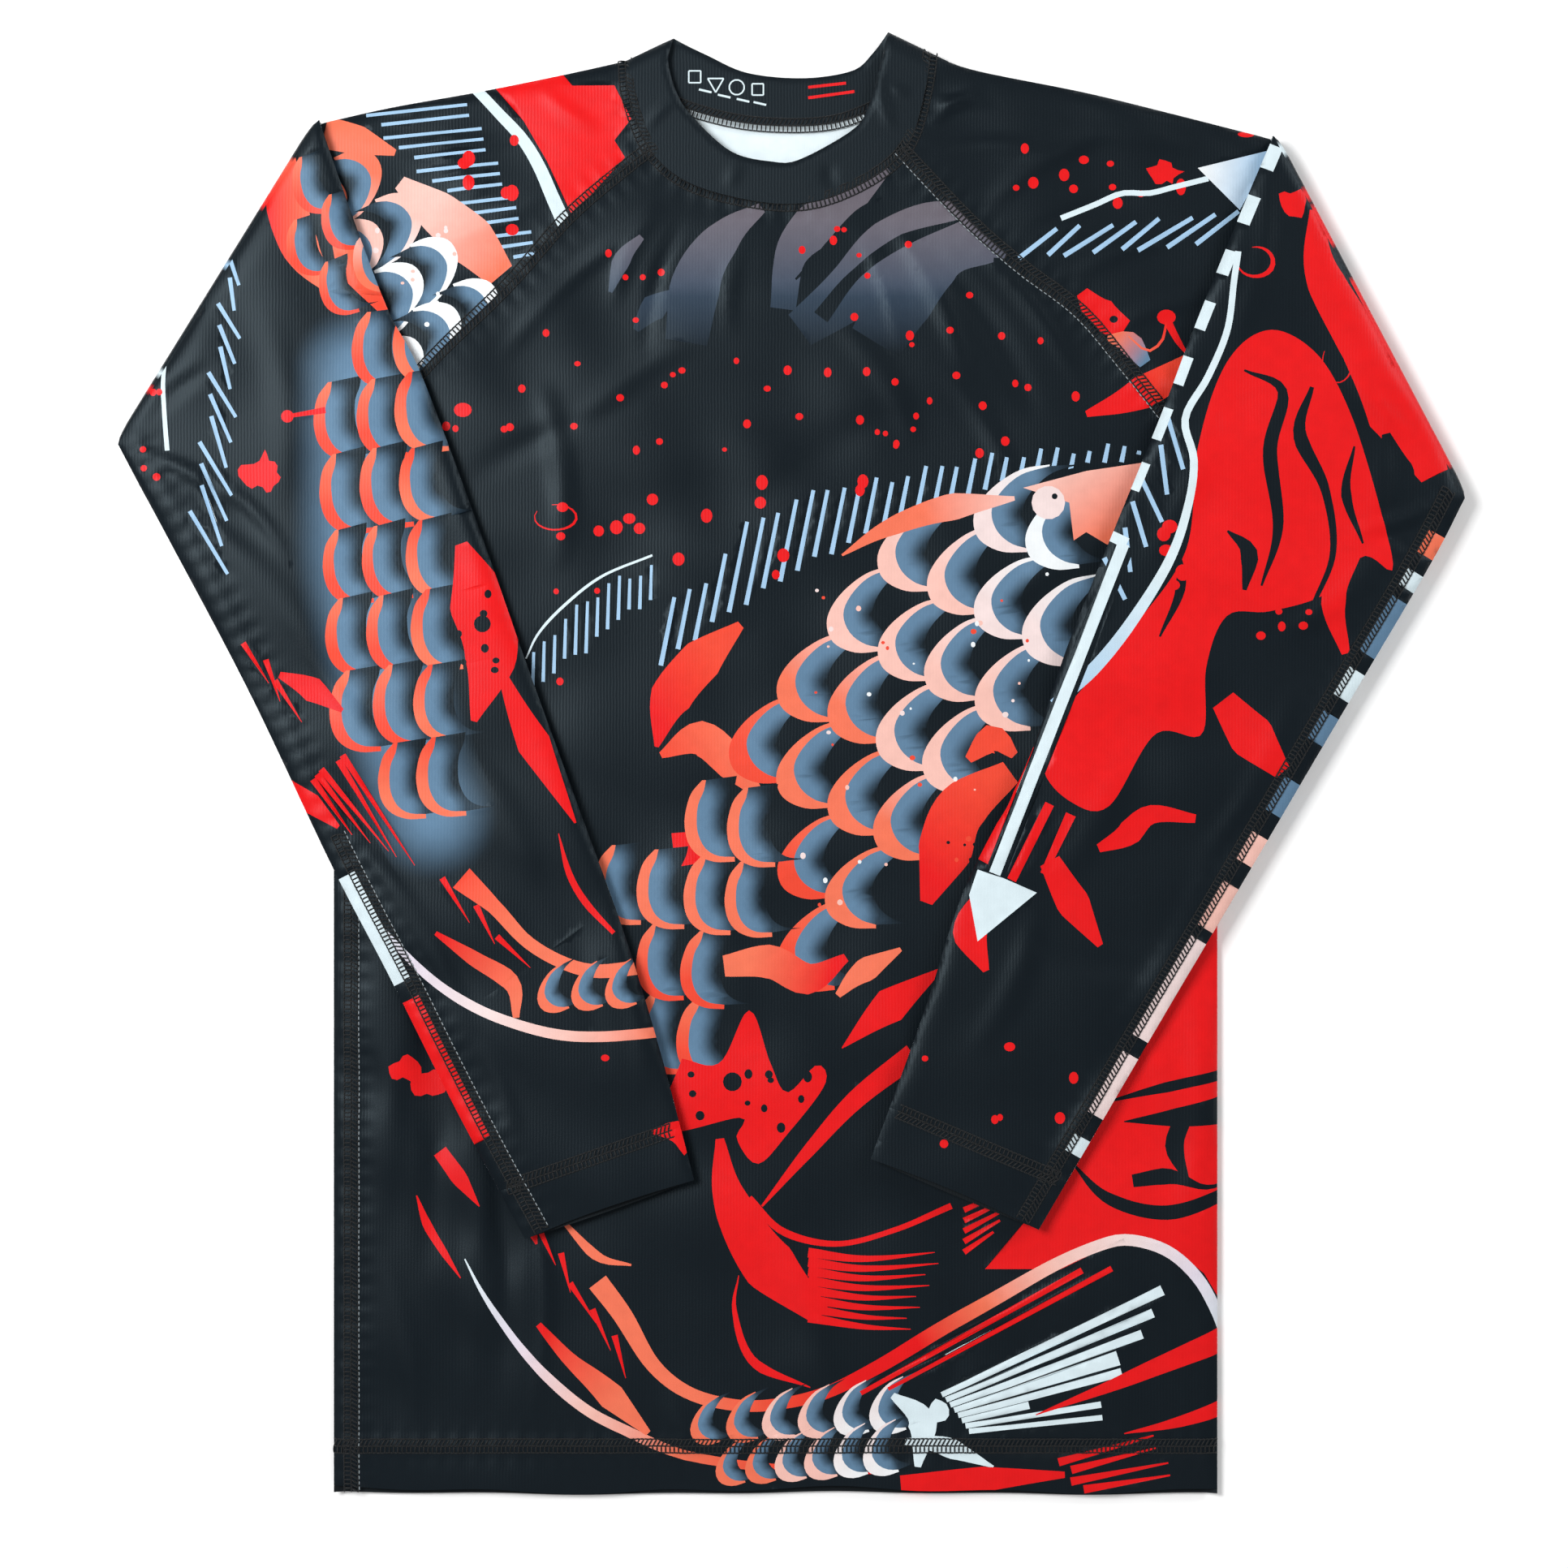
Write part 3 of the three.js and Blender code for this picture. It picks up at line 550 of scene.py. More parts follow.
def left_lower_print():
    # A red wave with black brush strokes in it.
    art = [patch("red", [(126, 22), (156, 58), (186, 100), (192, 150), (206, 190), (226, 205), (248, 194),
                         (264, 166), (276, 128), (284, 92), (270, 98), (252, 80), (226, 72), (206, 70),
                         (196, 46), (194, 14), (172, 14), (150, -20), (132, -18), (119, -2)], True),
           brush("red", [(248, 262), (250, 234), (266, 204), (286, 172), (304, 136)], [6, 18, 22, 34, 14]),
           brush("black", [(281, 156), (286, 138), (294, 120)], [4, 17, 6]),
           brush("red", [(204, 30), (218, 12), (232, -4)], [12, 22, 8]),
           brush("red", [(145, -40), (158, -34), (170, -24), (191, -26)], [4, 12, 8, 4]),
           brush("red", [(88, -62), (84, -78), (92, -98)], [4, 17, 3]),
           brush("red", [(114, 8), (104, -20), (90, -46)], [3, 3, 8]),
           brush("red", [(122, -46), (132, -64), (146, -86)], [10, 16, 3]),
           stroke(122, -19, 104, -55, 4.5, 4.5, "red"), stroke(132, -24, 119, -52, 5, 3, "red"),
           splat(237, 264, 7, 71, "red", 6), ring(219, 237, 8.5, 7, 1.6), ring(258, 190, 7, 10, 0.5)]
    for centre, widths in [
            ([(214, 186), (232, 176), (226, 148), (230, 112), (222, 84)], [1, 6, 7, 5, 1]),
            ([(246, 178), (240, 156), (252, 130), (256, 100), (246, 74)], [2, 7, 4, 3, 2]),
            ([(206, 110), (216, 100), (214, 82)], [1, 9, 2]),
            ([(174, 60), (184, 84), (180, 110)], [1, 5, 1]),
            ([(266, 150), (262, 128), (270, 104)], [1, 5, 1])]:
        art.append(brush("black", centre, widths))
    art += [brush("red", [(268, 100), (256, 78), (262, 52)], [3, 12, 4])]
    art += specks(72, 6, (154, 84), (186, 138), ["red"], (2.4, 4))
    art += specks(73, 5, (214, 60), (250, 76), ["red"], (1.6, 2.4))
    art += specks(74, 7, (50, -206), (136, -132), ["red"], (1.4, 3))
    art += rows(6, (178, 163, 185, 139), (150, 98, 156, 78), 0, 2.3, 2.1)
    art += [band(["ice", "ice", "ice", "sky"],
                 [(211, 242), (209, 228), (206, 205), (197, 183), (186, 163), (190, 143), (187, 120),
                  (178, 95), (160, 66), (142, 44), (124, 28)], [3, 3, 3.2, 3.4, 3.6, 3.8, 4.4, 5, 5.6, 6, 5])]
    # White dashes along the folded sleeve's inner edge.
    line = smooth(INNER["left"], 2.0)
    long = np.concatenate([[0], np.cumsum(np.linalg.norm(np.diff(line, axis=0), axis=1))])
    for i in range(7):
        part = line[(long >= 3 + 27 * i) & (long <= 17 + 27.5 * i)]
        art.append((np.vstack([beside(part, -4), beside(part, 6.5 - 0.4 * i)[::-1]]), even("ice")))
    # A plain arrow down the sleeve.
    art += [stroke(157.5, 103, 96, -52, 9.4, 9.4, "black"), stroke(157, 104, 96, -52, 5.6, 5.6, "ice"),
            stroke(149, 109, 158.5, 104, 5, 5.4, "ice"),
            patch("ice", [(84, -62), (88, -50), (100, -54), (116, -61), (88, -84)])]
    return art + edge_pieces("left", [(20, 34, "coral"), (40, 52, "ice"), (56, 88, "steel"), (94, 112, "ice"),
                                      (118, 136, "steel"), (142, 150, "ice"), (154, 176, "steel"),
                                      (186, 204, "pink"), (212, 238, "pink"), (243, 300, "blush"),
                                      (306, 342, "blush"), (352, 362, "ice")])


# ---------------------------------------------------------------- how the knit lies
def lens(distance, width=TURN):
    """0 at an edge, rising round to 1 at the width."""
    t = np.clip(distance / width, 0, 1)
    return np.sqrt(1 - (1 - t) ** 2)


COLLAR_ENDS = [straight([(-79, 334), (-56, 345)]), straight([(66, 338), (46, 348)])]
EDGES = [smooth(SHOULDER[s]) for s in SHOULDER] + [smooth(UNDERARM[s]) for s in UNDERARM] \
    + [straight(BODY_SIDE[s]) for s in BODY_SIDE] + COLLAR_ENDS
FOLD = {s: straight([INNER[s][0], OUTER[s][0]], 3.0) for s in INNER}

# Soft creases: start, end, half width, height. Some stand up and some sink.
BODY_CREASES = [
    (-205, -40, -198, -230, 10, 1.0), (-188, -60, -174, -250, 9, -1.0), (-176, -70, -152, -310, 9, 1.1),
    (-160, -120, -138, -310, 8, -0.8),
    (-125, -190, -124, -318, 3.5, 0.8), (-150, -150, -118, -300, 12, 0.5), (-196, -230, -180, -330, 7, 0.6),
    (-120, 185, -110, 90, 7, 0.8), (-112, 150, -40, 205, 8, 0.5), (-160, 130, -70, 170, 8, -0.5),
    (-140, 190, -60, 262, 5, 0.5), (-86, 215, -62, 268, 5, 0.7), (-70, 190, -50, 262, 4, -0.5),
    (-30, 200, -22, 256, 6, 0.4), (30, 256, 52, 196, 5, 0.7), (44, 262, 84, 180, 6, 0.8),
    (60, 250, 118, 160, 7, -0.7), (72, 258, 140, 176, 5, 0.6), (20, 212, 60, 150, 7, 0.6),
    (70, 190, 110, 120, 6, 0.5), (-20, 120, 60, 170, 12, -0.4), (-90, 100, -20, 60, 14, 0.5),
    (90, 60, 150, 110, 9, 0.6), (-60, -20, -20, -150, 12, 0.5), (40, -110, 90, -220, 10, 0.5),
    (-20, -200, 20, -320, 10, 0.5), (120, -210, 190, -300, 12, 0.6), (190, -90, 180, -250, 9, 0.7),
    (80, -250, 60, -330, 9, -0.4), (150, -120, 196, -180, 8, 0.5), (-60, -290, -52, -344, 6, 0.5)]
UPPER_CREASES = [
    (-90, 300, -120, 322, 4, 0.7), (-105, 280, -190, 240, 7, 0.6), (-120, 300, -215, 296, 6, 0.5),
    (-150, 230, -210, 210, 6, 0.6), (-180, 200, -215, 155, 5, 0.7), (-140, 262, -170, 300, 6, 0.5),
    (62, 300, 92, 322, 3.5, 0.9), (60, 312, 96, 312, 3, 0.8), (70, 292, 130, 288, 5, 0.6),
    (90, 262, 150, 300, 6, 0.7), (110, 250, 168, 268, 5, -0.5), (130, 230, 190, 252, 6, 0.6),
    (150, 205, 200, 222, 5, 0.6), (170, 190, 205, 150, 5, 0.8), (120, 300, 205, 286, 7, 0.6)]
LOWER_CREASES = {
    "right": [(-310, 148, -260, 120, 4, 0.9), (-306, 160, -270, 190, 5, -0.5), (-300, 130, -215, 40, 8, 0.8),
              (-280, 140, -236, 96, 4, 0.6), (-235, 60, -190, -20, 6, 0.6), (-222, -20, -150, -130, 6, 0.9),
              (-205, -60, -172, -112, 3.5, 0.8), (-165, 20, -120, -60, 8, 0.5),
              (-230, 280, -200, 200, 6, 0.7), (-190, 190, -140, 60, 9, 0.5), (-150, -130, -130, -180, 6, 0.5),
              (-90, -60, -70, -160, 7, 0.6), (-120, -40, -90, -150, 9, -0.4),
              (-250, 220, -240, 120, 10, 0.5)],
    "left": [(308, 124, 262, 110, 4, 0.8), (300, 150, 262, 190, 6, 0.6), (290, 110, 230, 60, 7, 0.7),
             (225, 285, 210, 200, 6, 0.6), (205, 190, 165, 90, 8, 0.6), (240, 40, 190, -50, 7, 0.6),
             (200, -40, 150, -130, 7, 0.6), (160, 10, 120, -60, 9, 0.5), (118, -60, 84, -140, 8, 0.6),
             (150, -140, 120, -190, 5, 0.6), (170, -100, 110, -80, 7, -0.5), (280, 170, 270, 100, 8, 0.5)]}


SHARP, STEEP = 0.72, 1.5    # the tables' half widths and heights, as the cloth takes them


def creases(p, table):
    """How far the creases lift each point."""
    z = np.zeros(len(p))
    for x0, y0, x1, y1, width, height in table:
        a, d = np.array([x0, y0], float), np.array([x1 - x0, y1 - y0], float)
        t = ((p - a) @ d) / (d @ d)
        bow = 0.06 * math.hypot(*d) * np.sin(np.clip(t, 0, 1) * math.pi)
        across = ((p - a) @ np.array([-d[1], d[0]])) / math.hypot(*d) - bow
        ridge = np.exp(-(across / (SHARP * width)) ** 2)
        z += STEEP * height * ridge * np.sin(np.clip(t, 0, 1) * math.pi) ** 1.2
    return z


def settle(z, low, high):
    """Heights that level off softly towards a lowest and a highest one."""
    return np.where(z > 0, high * np.tanh(z / high), -low * np.tanh(-z / low))


def pucker(p, seams, height=0.22, pitch=9.0):
    """A sewn seam stands a little proud, and draws the knit beside it into small waves."""
    z = np.zeros(len(p))
    for i, seam in enumerate(seams):
        off, at = near(p, seam)
        wave = np.sin(2 * math.pi * at / pitch + 1.3 * i + 0.8 * np.sin(at / 23))
        z += 0.30 * np.exp(-(off / 3.6) ** 4) + height * wave * np.exp(-((off - 4) / 5) ** 2)
    return z


def sway(p, size=0.15):
    """Low swells of cloth that isn't ironed: waves 35 to 95 long, each in its own direction."""
    chance, z = np.random.default_rng(8), np.zeros(len(p))
    for _ in range(12):
        way, long, start = chance.uniform(0, math.pi), chance.uniform(35, 95), chance.uniform(0, 6.3)
        z += size * long / 60 * np.sin(2 * math.pi * (p @ (math.cos(way), math.sin(way))) / long + start)
    return z


neck_front, neck_back = smooth(NECK_FRONT), smooth(NECK_BACK)
raglan = {s: smooth(RAGLAN[s]) for s in RAGLAN}
hem_line = straight([(RIGHT_EDGE, HEM_TOP), (LEFT_EDGE, HEM_TOP)])
body_seams = [neck_front, raglan["right"], raglan["left"], hem_line, straight(SIDE_SEAM["right"])]
sleeve_seam = {s: beside(smooth(OUTER[s]), SEAM_IN if s == "right" else -SEAM_IN) for s in OUTER}


def front_height(p):
    """The upper face of the body and the upper sleeves."""
    edge = np.min([near(p, e)[0] for e in EDGES], 0)
    rise = lens(edge)
    open_end = np.clip((p[:, 1] - HEM_END) / 60, 0, 1) ** 0.5  # the body lies flatter towards its open end
    fold = lens(np.min([near(p, f)[0] for f in FOLD.values()], 0), 16)
    soft = (creases(p, BODY_CREASES) + creases(p, UPPER_CREASES) + pucker(p, body_seams) + sway(p)) * fold
    return MIDDLE + rise * (LOFT * (0.35 + 0.65 * open_end) - 0.55 + settle(STEEP * soft, 2.0, 1.9))


def body_wall(p):
    """How much of its thickness the knit keeps: it thins to nothing where the front turns into the back."""
    return lens(np.min([near(p, e)[0] for e in EDGES], 0), 4)


def back_height(p):
    """The lower face of the body and the upper sleeves, which lies on the table."""
    edge = np.min([near(p, e)[0] for e in EDGES], 0)
    fold = np.min([near(p, f)[0] for f in FOLD.values()], 0)
    return MIDDLE - UNDER * lens(edge) * (1 - 0.75 * (1 - lens(fold, 12)))


def folded_height(side):
    """The upper and the lower face of a folded sleeve."""
    ends = [smooth(INNER[side]), smooth(OUTER[side])]
    cuff = np.array([OUTER[side][-1], INNER[side][-1]], float)

    def parts(p):
        edge = np.min([near(p, e)[0] for e in ends], 0)
        mouth = np.clip(near(p, cuff)[0] / 70, 0, 1) ** 0.6
        return lens(edge), lens(near(p, FOLD[side])[0], 12), mouth

    def top(p):
        rise, fold, mouth = parts(p)
        soft = creases(p, LOWER_CREASES[side]) + pucker(p, [sleeve_seam[side]]) + sway(p + 40)
        return FOLDED - MIDDLE + rise * (1 - 0.75 * (1 - fold)) * (
            (UNDER - 1.8) * (0.4 + 0.6 * mouth) + fold * settle(STEEP * soft, 1.8, 1.7))

    def under(p):
        rise, fold, mouth = parts(p)
        return FOLDED - MIDDLE - rise * (LOFT + 0.5 * fold)

    def wall(p):
        return lens(np.min([near(p, e)[0] for e in ends], 0), 4)

    return top, under, wall


# ---------------------------------------------------------------- making cloth
def layer(outline, art, height, spacing=FINE, up=True):
    """One layer of printed knit: triangles that follow both the cut and the edges of the print."""
    outline = np.array(outline, float)
    low, high = outline.min(0), outline.max(0)
    art = [(s, paint) for s, paint in art if (s.max(0) > low).all() and (s.min(0) < high).all()]
    grid = []
    for i, y in enumerate(np.arange(low[1], high[1], spacing * 0.866)):
        x = np.arange(low[0] + (i % 2) * spacing / 2, high[0], spacing)
        grid.append(np.stack([x, np.full(len(x), y)], 1))
    grid = np.vstack(grid)
    grid = grid[inside(grid, outline)]
    points, edges, count = [grid], [], len(grid)
    for shape in [outline] + [s for s, _ in art]:
        points.append(shape)
        edges += [(count + i, count + (i + 1) % len(shape)) for i in range(len(shape))]
        count += len(shape)
    made = delaunay_2d_cdt([Vector(p) for p in np.vstack(points)], edges, [], 0, 0.02, False)
    flat, faces = np.array([v[:] for v in made[0]]), np.array(made[2])
    middle = flat[faces].mean(1)
    faces, middle = faces[inside(middle, outline)], middle[inside(middle, outline)]
    used, place = np.unique(faces, return_inverse=True)
    flat, faces = flat[used], place.reshape(faces.shape)
    a, b, c = (flat[faces[:, i]] for i in range(3))
    turned = np.cross(b - a, c - a) < 0
    faces[turned] = faces[turned][:, ::-1]
    if not up:
        faces = faces[:, ::-1]
    cover = np.full(len(faces), -1)
    for i, (shape, _) in enumerate(art):
        cover[inside(middle, shape)] = i
    ink = np.tile(INK["black"], (len(faces), 3, 1))
    for i in np.unique(cover[cover >= 0]):
        mine = np.where(cover == i)[0]
        ink[mine] = art[i][1](flat[faces[mine]].reshape(-1, 2)).reshape(-1, 3, 3)
    return np.column_stack([flat, height(flat)]), faces, ink


def select(obj):
    bpy.ops.object.select_all(action="DESELECT")
    obj.select_set(True)
    bpy.context.view_layer.objects.active = obj


def cloth(name, layers, thickness, materials, nodes, body, slot, wall_at=body_wall, lengthways=(0, 1)):
    """A piece of cloth from its layers, given its thickness inwards.

    The sheet's length is measured lengthways, and its width across that. Two layers are one tube, which was
    cut twice as wide as it lies."""
    points, faces, inks, count = [], [], [], 0
    for p, f, ink in layers:
        points.append(p * MM)
        faces.append(f + count)
        inks.append(ink)
        count += len(p)
    points, faces, inks = np.vstack(points), np.vstack(faces), np.vstack(inks)
    mesh = bpy.data.meshes.new(name)
    mesh.from_pydata(points.tolist(), [], faces.tolist())
    colour = mesh.color_attributes.new("print", "FLOAT_COLOR", "CORNER")
    colour.data.foreach_set("color", np.dstack([inks, np.ones(inks.shape[:2])]).astype(np.float32).ravel())
    obj = bpy.data.objects.new(name, mesh)
    bpy.context.collection.objects.link(obj)
    for m in materials:
        mesh.materials.append(m)
    a, b, c = (points[faces[:, i]] for i in range(3))
    area = float(np.linalg.norm(np.cross(b - a, c - a), axis=1).sum() / 2)
    select(obj)
    keep = obj.vertex_groups.new(name="thickness")  # it thins out where one layer turns into the other
    for i, share in enumerate(wall_at(points[:, :2] / MM)):
        keep.add([i], float(share), "REPLACE")
    wall = obj.modifiers.new("wall", "SOLIDIFY")
    wall.thickness, wall.offset, wall.material_offset, wall.material_offset_rim = thickness * MM, -1, 1, 0
    wall.vertex_group, wall.thickness_vertex_group = "thickness", 0.03
    bpy.ops.object.modifier_apply(modifier="wall")
    bpy.ops.object.shade_smooth_by_angle(angle=math.radians(50))
    way = np.array(lengthways, float) / math.hypot(*lengthways)
    long = round(float(np.ptp(points[:, :2] @ way)), 4)
    wide = round(float(np.ptp(points[:, :2] @ (-way[1], way[0]))) * len(layers), 4)
    if area > wide * long:
        wide = math.ceil(area / long * 1e4) / 1e4
    if body:
        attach(obj, body)
    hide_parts(*nodes)
    return obj


# ---------------------------------------------------------------- materials
def node(tree, kind, settings=(), **links):
    """Adds a node, with its settings and what goes into its sockets."""
    made = tree.nodes.new(kind)
    for name, value in dict(settings).items():
        setattr(made, name, value)
    for name, value in links.items():
        socket = made.inputs[int(name[1:])] if name[1:].isdigit() else made.inputs[name.replace("_", " ")]
        if isinstance(value, bpy.types.NodeSocket):
            tree.links.new(value, socket)
        else:
            socket.default_value = value
    return made


def material(name):
    made = bpy.data.materials.new(name)
    made.use_nodes = True
    made.node_tree.nodes.clear()
    return made, made.node_tree


def rgba(code):
    return (*[float(c) for c in linear(code)], 1.0)


def knit(name, rough, sheen, gloss, plain=None, rib=1.5):
    """Warp-knit polyester with elastane: smooth and close, with a soft, faintly bluish shine on its folds.

    Its wales are 0.5 mm apart, and are drawn rib millimetres apart so that they show. The print is dyed in,
    so it has the knit's own satin finish. A mottle of about 6 mm is how unevenly a stretch knit takes dye."""
    made, tree = material(name)
    place = node(tree, "ShaderNodeTexCoord").outputs["Object"]
    if plain:
        base = node(tree, "ShaderNodeRGB")
        base.outputs[0].default_value = rgba(plain)
        base = base.outputs[0]
    else:
        base = node(tree, "ShaderNodeAttribute", {"attribute_name": "print"}).outputs["Color"]
    mottle = node(tree, "ShaderNodeTexNoise", Vector=place, Scale=160.0, Detail=3.0).outputs[0]
    shade = node(tree, "ShaderNodeMapRange", Value=mottle, _3=0.78, _4=0.95).outputs[0]
    ink = node(tree, "ShaderNodeVectorMath", {"operation": "SCALE"}, _0=base, Scale=shade).outputs[0]
    wale = node(tree, "ShaderNodeTexWave", {"bands_direction": "X"}, Vector=place, Scale=314 / rib,
                Distortion=1.5, Detail=1.0, Detail_Scale=0.6).outputs[1]
    grain = node(tree, "ShaderNodeTexNoise", Vector=place, Scale=1400.0, Detail=2.0).outputs[0]
    pile = node(tree, "ShaderNodeMath", {"operation": "ADD"}, _0=wale, _1=grain).outputs[0]
    bump = node(tree, "ShaderNodeBump", Strength=0.13, Distance=0.00025, Height=pile).outputs[0]
    surface = node(tree, "ShaderNodeBsdfPrincipled", Base_Color=ink, Roughness=rough, Normal=bump,
                   Sheen_Weight=sheen, Sheen_Roughness=0.4, Specular_IOR_Level=gloss,
                   Specular_Tint=(0.72, 0.9, 1.0, 1.0))
    node(tree, "ShaderNodeOutputMaterial", Surface=surface.outputs[0])
    return made


def thread(name, code):
    """Twisted polyester sewing thread: fine, round and slightly shiny."""
    made, tree = material(name)
    place = node(tree, "ShaderNodeTexCoord").outputs["Object"]
    twist = node(tree, "ShaderNodeTexNoise", Vector=place, Scale=2200.0, Detail=1.0).outputs[0]
    bump = node(tree, "ShaderNodeBump", Strength=0.4, Distance=0.0002, Height=twist).outputs[0]
    surface = node(tree, "ShaderNodeBsdfPrincipled", Base_Color=rgba(code), Roughness=0.55, Normal=bump,
                   Sheen_Weight=0.1, Specular_IOR_Level=0.25)
    node(tree, "ShaderNodeOutputMaterial", Surface=surface.outputs[0])
    return made


# Printed swim knit makes the whole shirt. The collar's two layers are duller. The knit turned in at the hem
# and the cuffs is nearly black, and the shirt's bare inside, which the neck shows, is a cold white.
printed_knit = knit("printed_swim_knit", 0.43, 0.0, 0.18)
band_knit = knit("dark_band_knit", 0.46, 0.0, 0.22)
lining = knit("dark_turned_in_knit", 0.55, 0.1, 0.16, "#121518")
bare_knit = knit("unprinted_inside_of_knit", 0.8, 0.15, 0.2, "#E6F3F8", 1.1)
black_thread = thread("black_seam_thread", "#05090C")
pale_thread = thread("pale_seam_thread", "#8D979C")
SINGLE, DOUBLED, COLLAR = [printed_knit, bare_knit], [printed_knit, lining], [band_knit, band_knit]


# ---------------------------------------------------------------- the body
def part_of(line, start, end):
    """The stretch of a line between its places nearest to two points."""
    a, b = (int(np.argmin(np.hypot(*(line - p).T))) for p in (start, end))
    return line[a:b + 1] if a <= b else line[b:a + 1][::-1]


def chain(*parts):
    """One outline from several lines, without the points that two of them share."""
    made = np.vstack(parts)
    keep = np.hypot(*(made - np.roll(made, 1, 0)).T) > 0.05
    return made[keep]


def hem_edge(end, depth):
    """The shirt's lower edge, from the left to the right, which waves a little."""
    x = np.linspace(LEFT_EDGE, RIGHT_EDGE, 90)
    return np.stack([x, end + depth * (0.5 + 0.3 * np.sin(x / 37 + 1) + 0.2 * np.sin(x / 13))], 1)


def hem_cut(end, depth, corner):
    """One face of the hem, round from its lower edge. The corner is how far up the edge meets the sides."""
    return chain(hem_edge(end, depth)[::-1], straight([(LEFT_EDGE, corner), (LEFT_EDGE, HEM_TOP)])[1:],
                 hem_line[::-1], straight([(RIGHT_EDGE, HEM_TOP), (RIGHT_EDGE, corner)]))


print_front = front_print()
print_upper = {"right": right_upper_print(), "left": left_upper_print()}
print_lower = {"right": right_lower_print(), "left": left_lower_print()}

left_edge = straight([(LEFT_EDGE, HEM_TOP), (LEFT_EDGE, 100), (205, 131)])
right_edge = straight([(RIGHT_EDGE, 135), (RIGHT_EDGE, HEM_TOP)])
low_neck = part_of(neck_front, (-67.5, 292), (52, 292))
rear_neck = neck_back[4:-4]  # the upper sleeves reach round its ends
for name, neck, height, spacing, nodes, slot in [
        ("front_of_body", low_neck, front_height, FINE, ["front_panel"], "front_printed_knit"),
        ("back_of_body", rear_neck, back_height, COARSE, ["back_panel"], "back_printed_knit")]:
    cut = chain(hem_line, left_edge, raglan["left"][::-1], neck[::-1], raglan["right"], right_edge)
    cloth(name, [layer(cut, print_front, height, spacing, height is front_height)], KNIT, SINGLE,
          nodes, "shirt_body", slot)
cloth("bottom_hem", [layer(hem_cut(HEM_END + 0.6, 4.5, HEM_END + 6), print_front, front_height),
                     layer(hem_cut(HEM_END, 1.8, HEM_END + 3), print_front, back_height, COARSE, False)],
      BAND, DOUBLED, ["bottom_hem_band"], "shirt_body", "dark_knit")


# ---------------------------------------------------------------- sleeves
def upper_sleeve(side):
    """A sleeve from its raglan seams to the fold."""
    shoulder, underarm, neck = smooth(SHOULDER[side]), smooth(UNDERARM[side]), smooth(SLEEVE_NECK[side], 4.0)
    end = beside(FOLD[side], FOLD_GAP)
    if not inside(end[len(end) // 2:len(end) // 2 + 1], chain(raglan[side], underarm, shoulder[::-1]))[0]:
        end = beside(FOLD[side], -FOLD_GAP)
    cut = chain(raglan[side], underarm[:-1], end[::-1], shoulder[::-1][1:],
                neck if side == "right" else neck[::-1])
    cloth(f"{side}_upper_sleeve", [layer(cut, print_upper[side], front_height),
                                   layer(cut, [], back_height, COARSE, False)], KNIT, SINGLE,
          [f"{side}_sleeve_upper"], "shirt_body", "sleeve_printed_knit",
          lengthways=FOLD[side].mean(0) - neck.mean(0))


def cut_at_cuff(line, mouth, upwards):
    """One edge of a folded sleeve, above the cuff's seam and below it, and the point where they meet."""
    high = (line - mouth) @ upwards
    last = int(np.where(high >= CUFF)[0][-1])
    share = (high[last] - CUFF) / (high[last] - high[last + 1])
    return line[high >= CUFF], line[high < CUFF], line[last] * (1 - share) + line[last + 1] * share


def lower_sleeve(side):
    """The folded part of a sleeve and its cuff. Gives back the cuff's seam and the outline of both."""
    inner, outer, body = smooth(INNER[side]), smooth(OUTER[side]), f"{side}_lower_sleeve"
    top, under, wall = folded_height(side)
    across = inner[-1] - outer[-1]
    upwards = np.array([-across[1], across[0]]) / math.hypot(*across)
    upwards *= 1 if upwards[1] > 0 else -1
    inner_sleeve, inner_cuff, inner_end = cut_at_cuff(inner, outer[-1], upwards)
    outer_sleeve, outer_cuff, outer_end = cut_at_cuff(outer, outer[-1], upwards)
    seam, mouth = straight([outer_end, inner_end], 4.0), straight([outer[-1], inner[-1]], 4.0)

    cut = chain(FOLD[side][::-1], inner_sleeve, seam[::-1], outer_sleeve[::-1])
    cloth(f"{side}_lower_sleeve_cloth", [layer(cut, print_lower[side], top),
                                         layer(cut, print_lower[side], under, COARSE, False)], KNIT, SINGLE,
          [f"{side}_sleeve_lower"], body, "sleeve_printed_knit", wall, upwards)

    bow = np.sin(np.linspace(0, math.pi, len(mouth)))[:, None] * upwards * 1.6
    above, below = (chain(seam, inner_cuff[:-1], (mouth + bow * share)[::-1], outer_cuff[:-1][::-1])
                    for share in (1.0, -0.4))
    cloth(f"{side}_cuff", [layer(above, print_lower[side], top), layer(below, [], under, 4.0, False)], BAND,
          DOUBLED, [f"{side}_cuff_band"], body, "dark_knit", wall, upwards)
    return seam[1:-1], chain(FOLD[side][::-1], inner, mouth[::-1], outer[::-1])


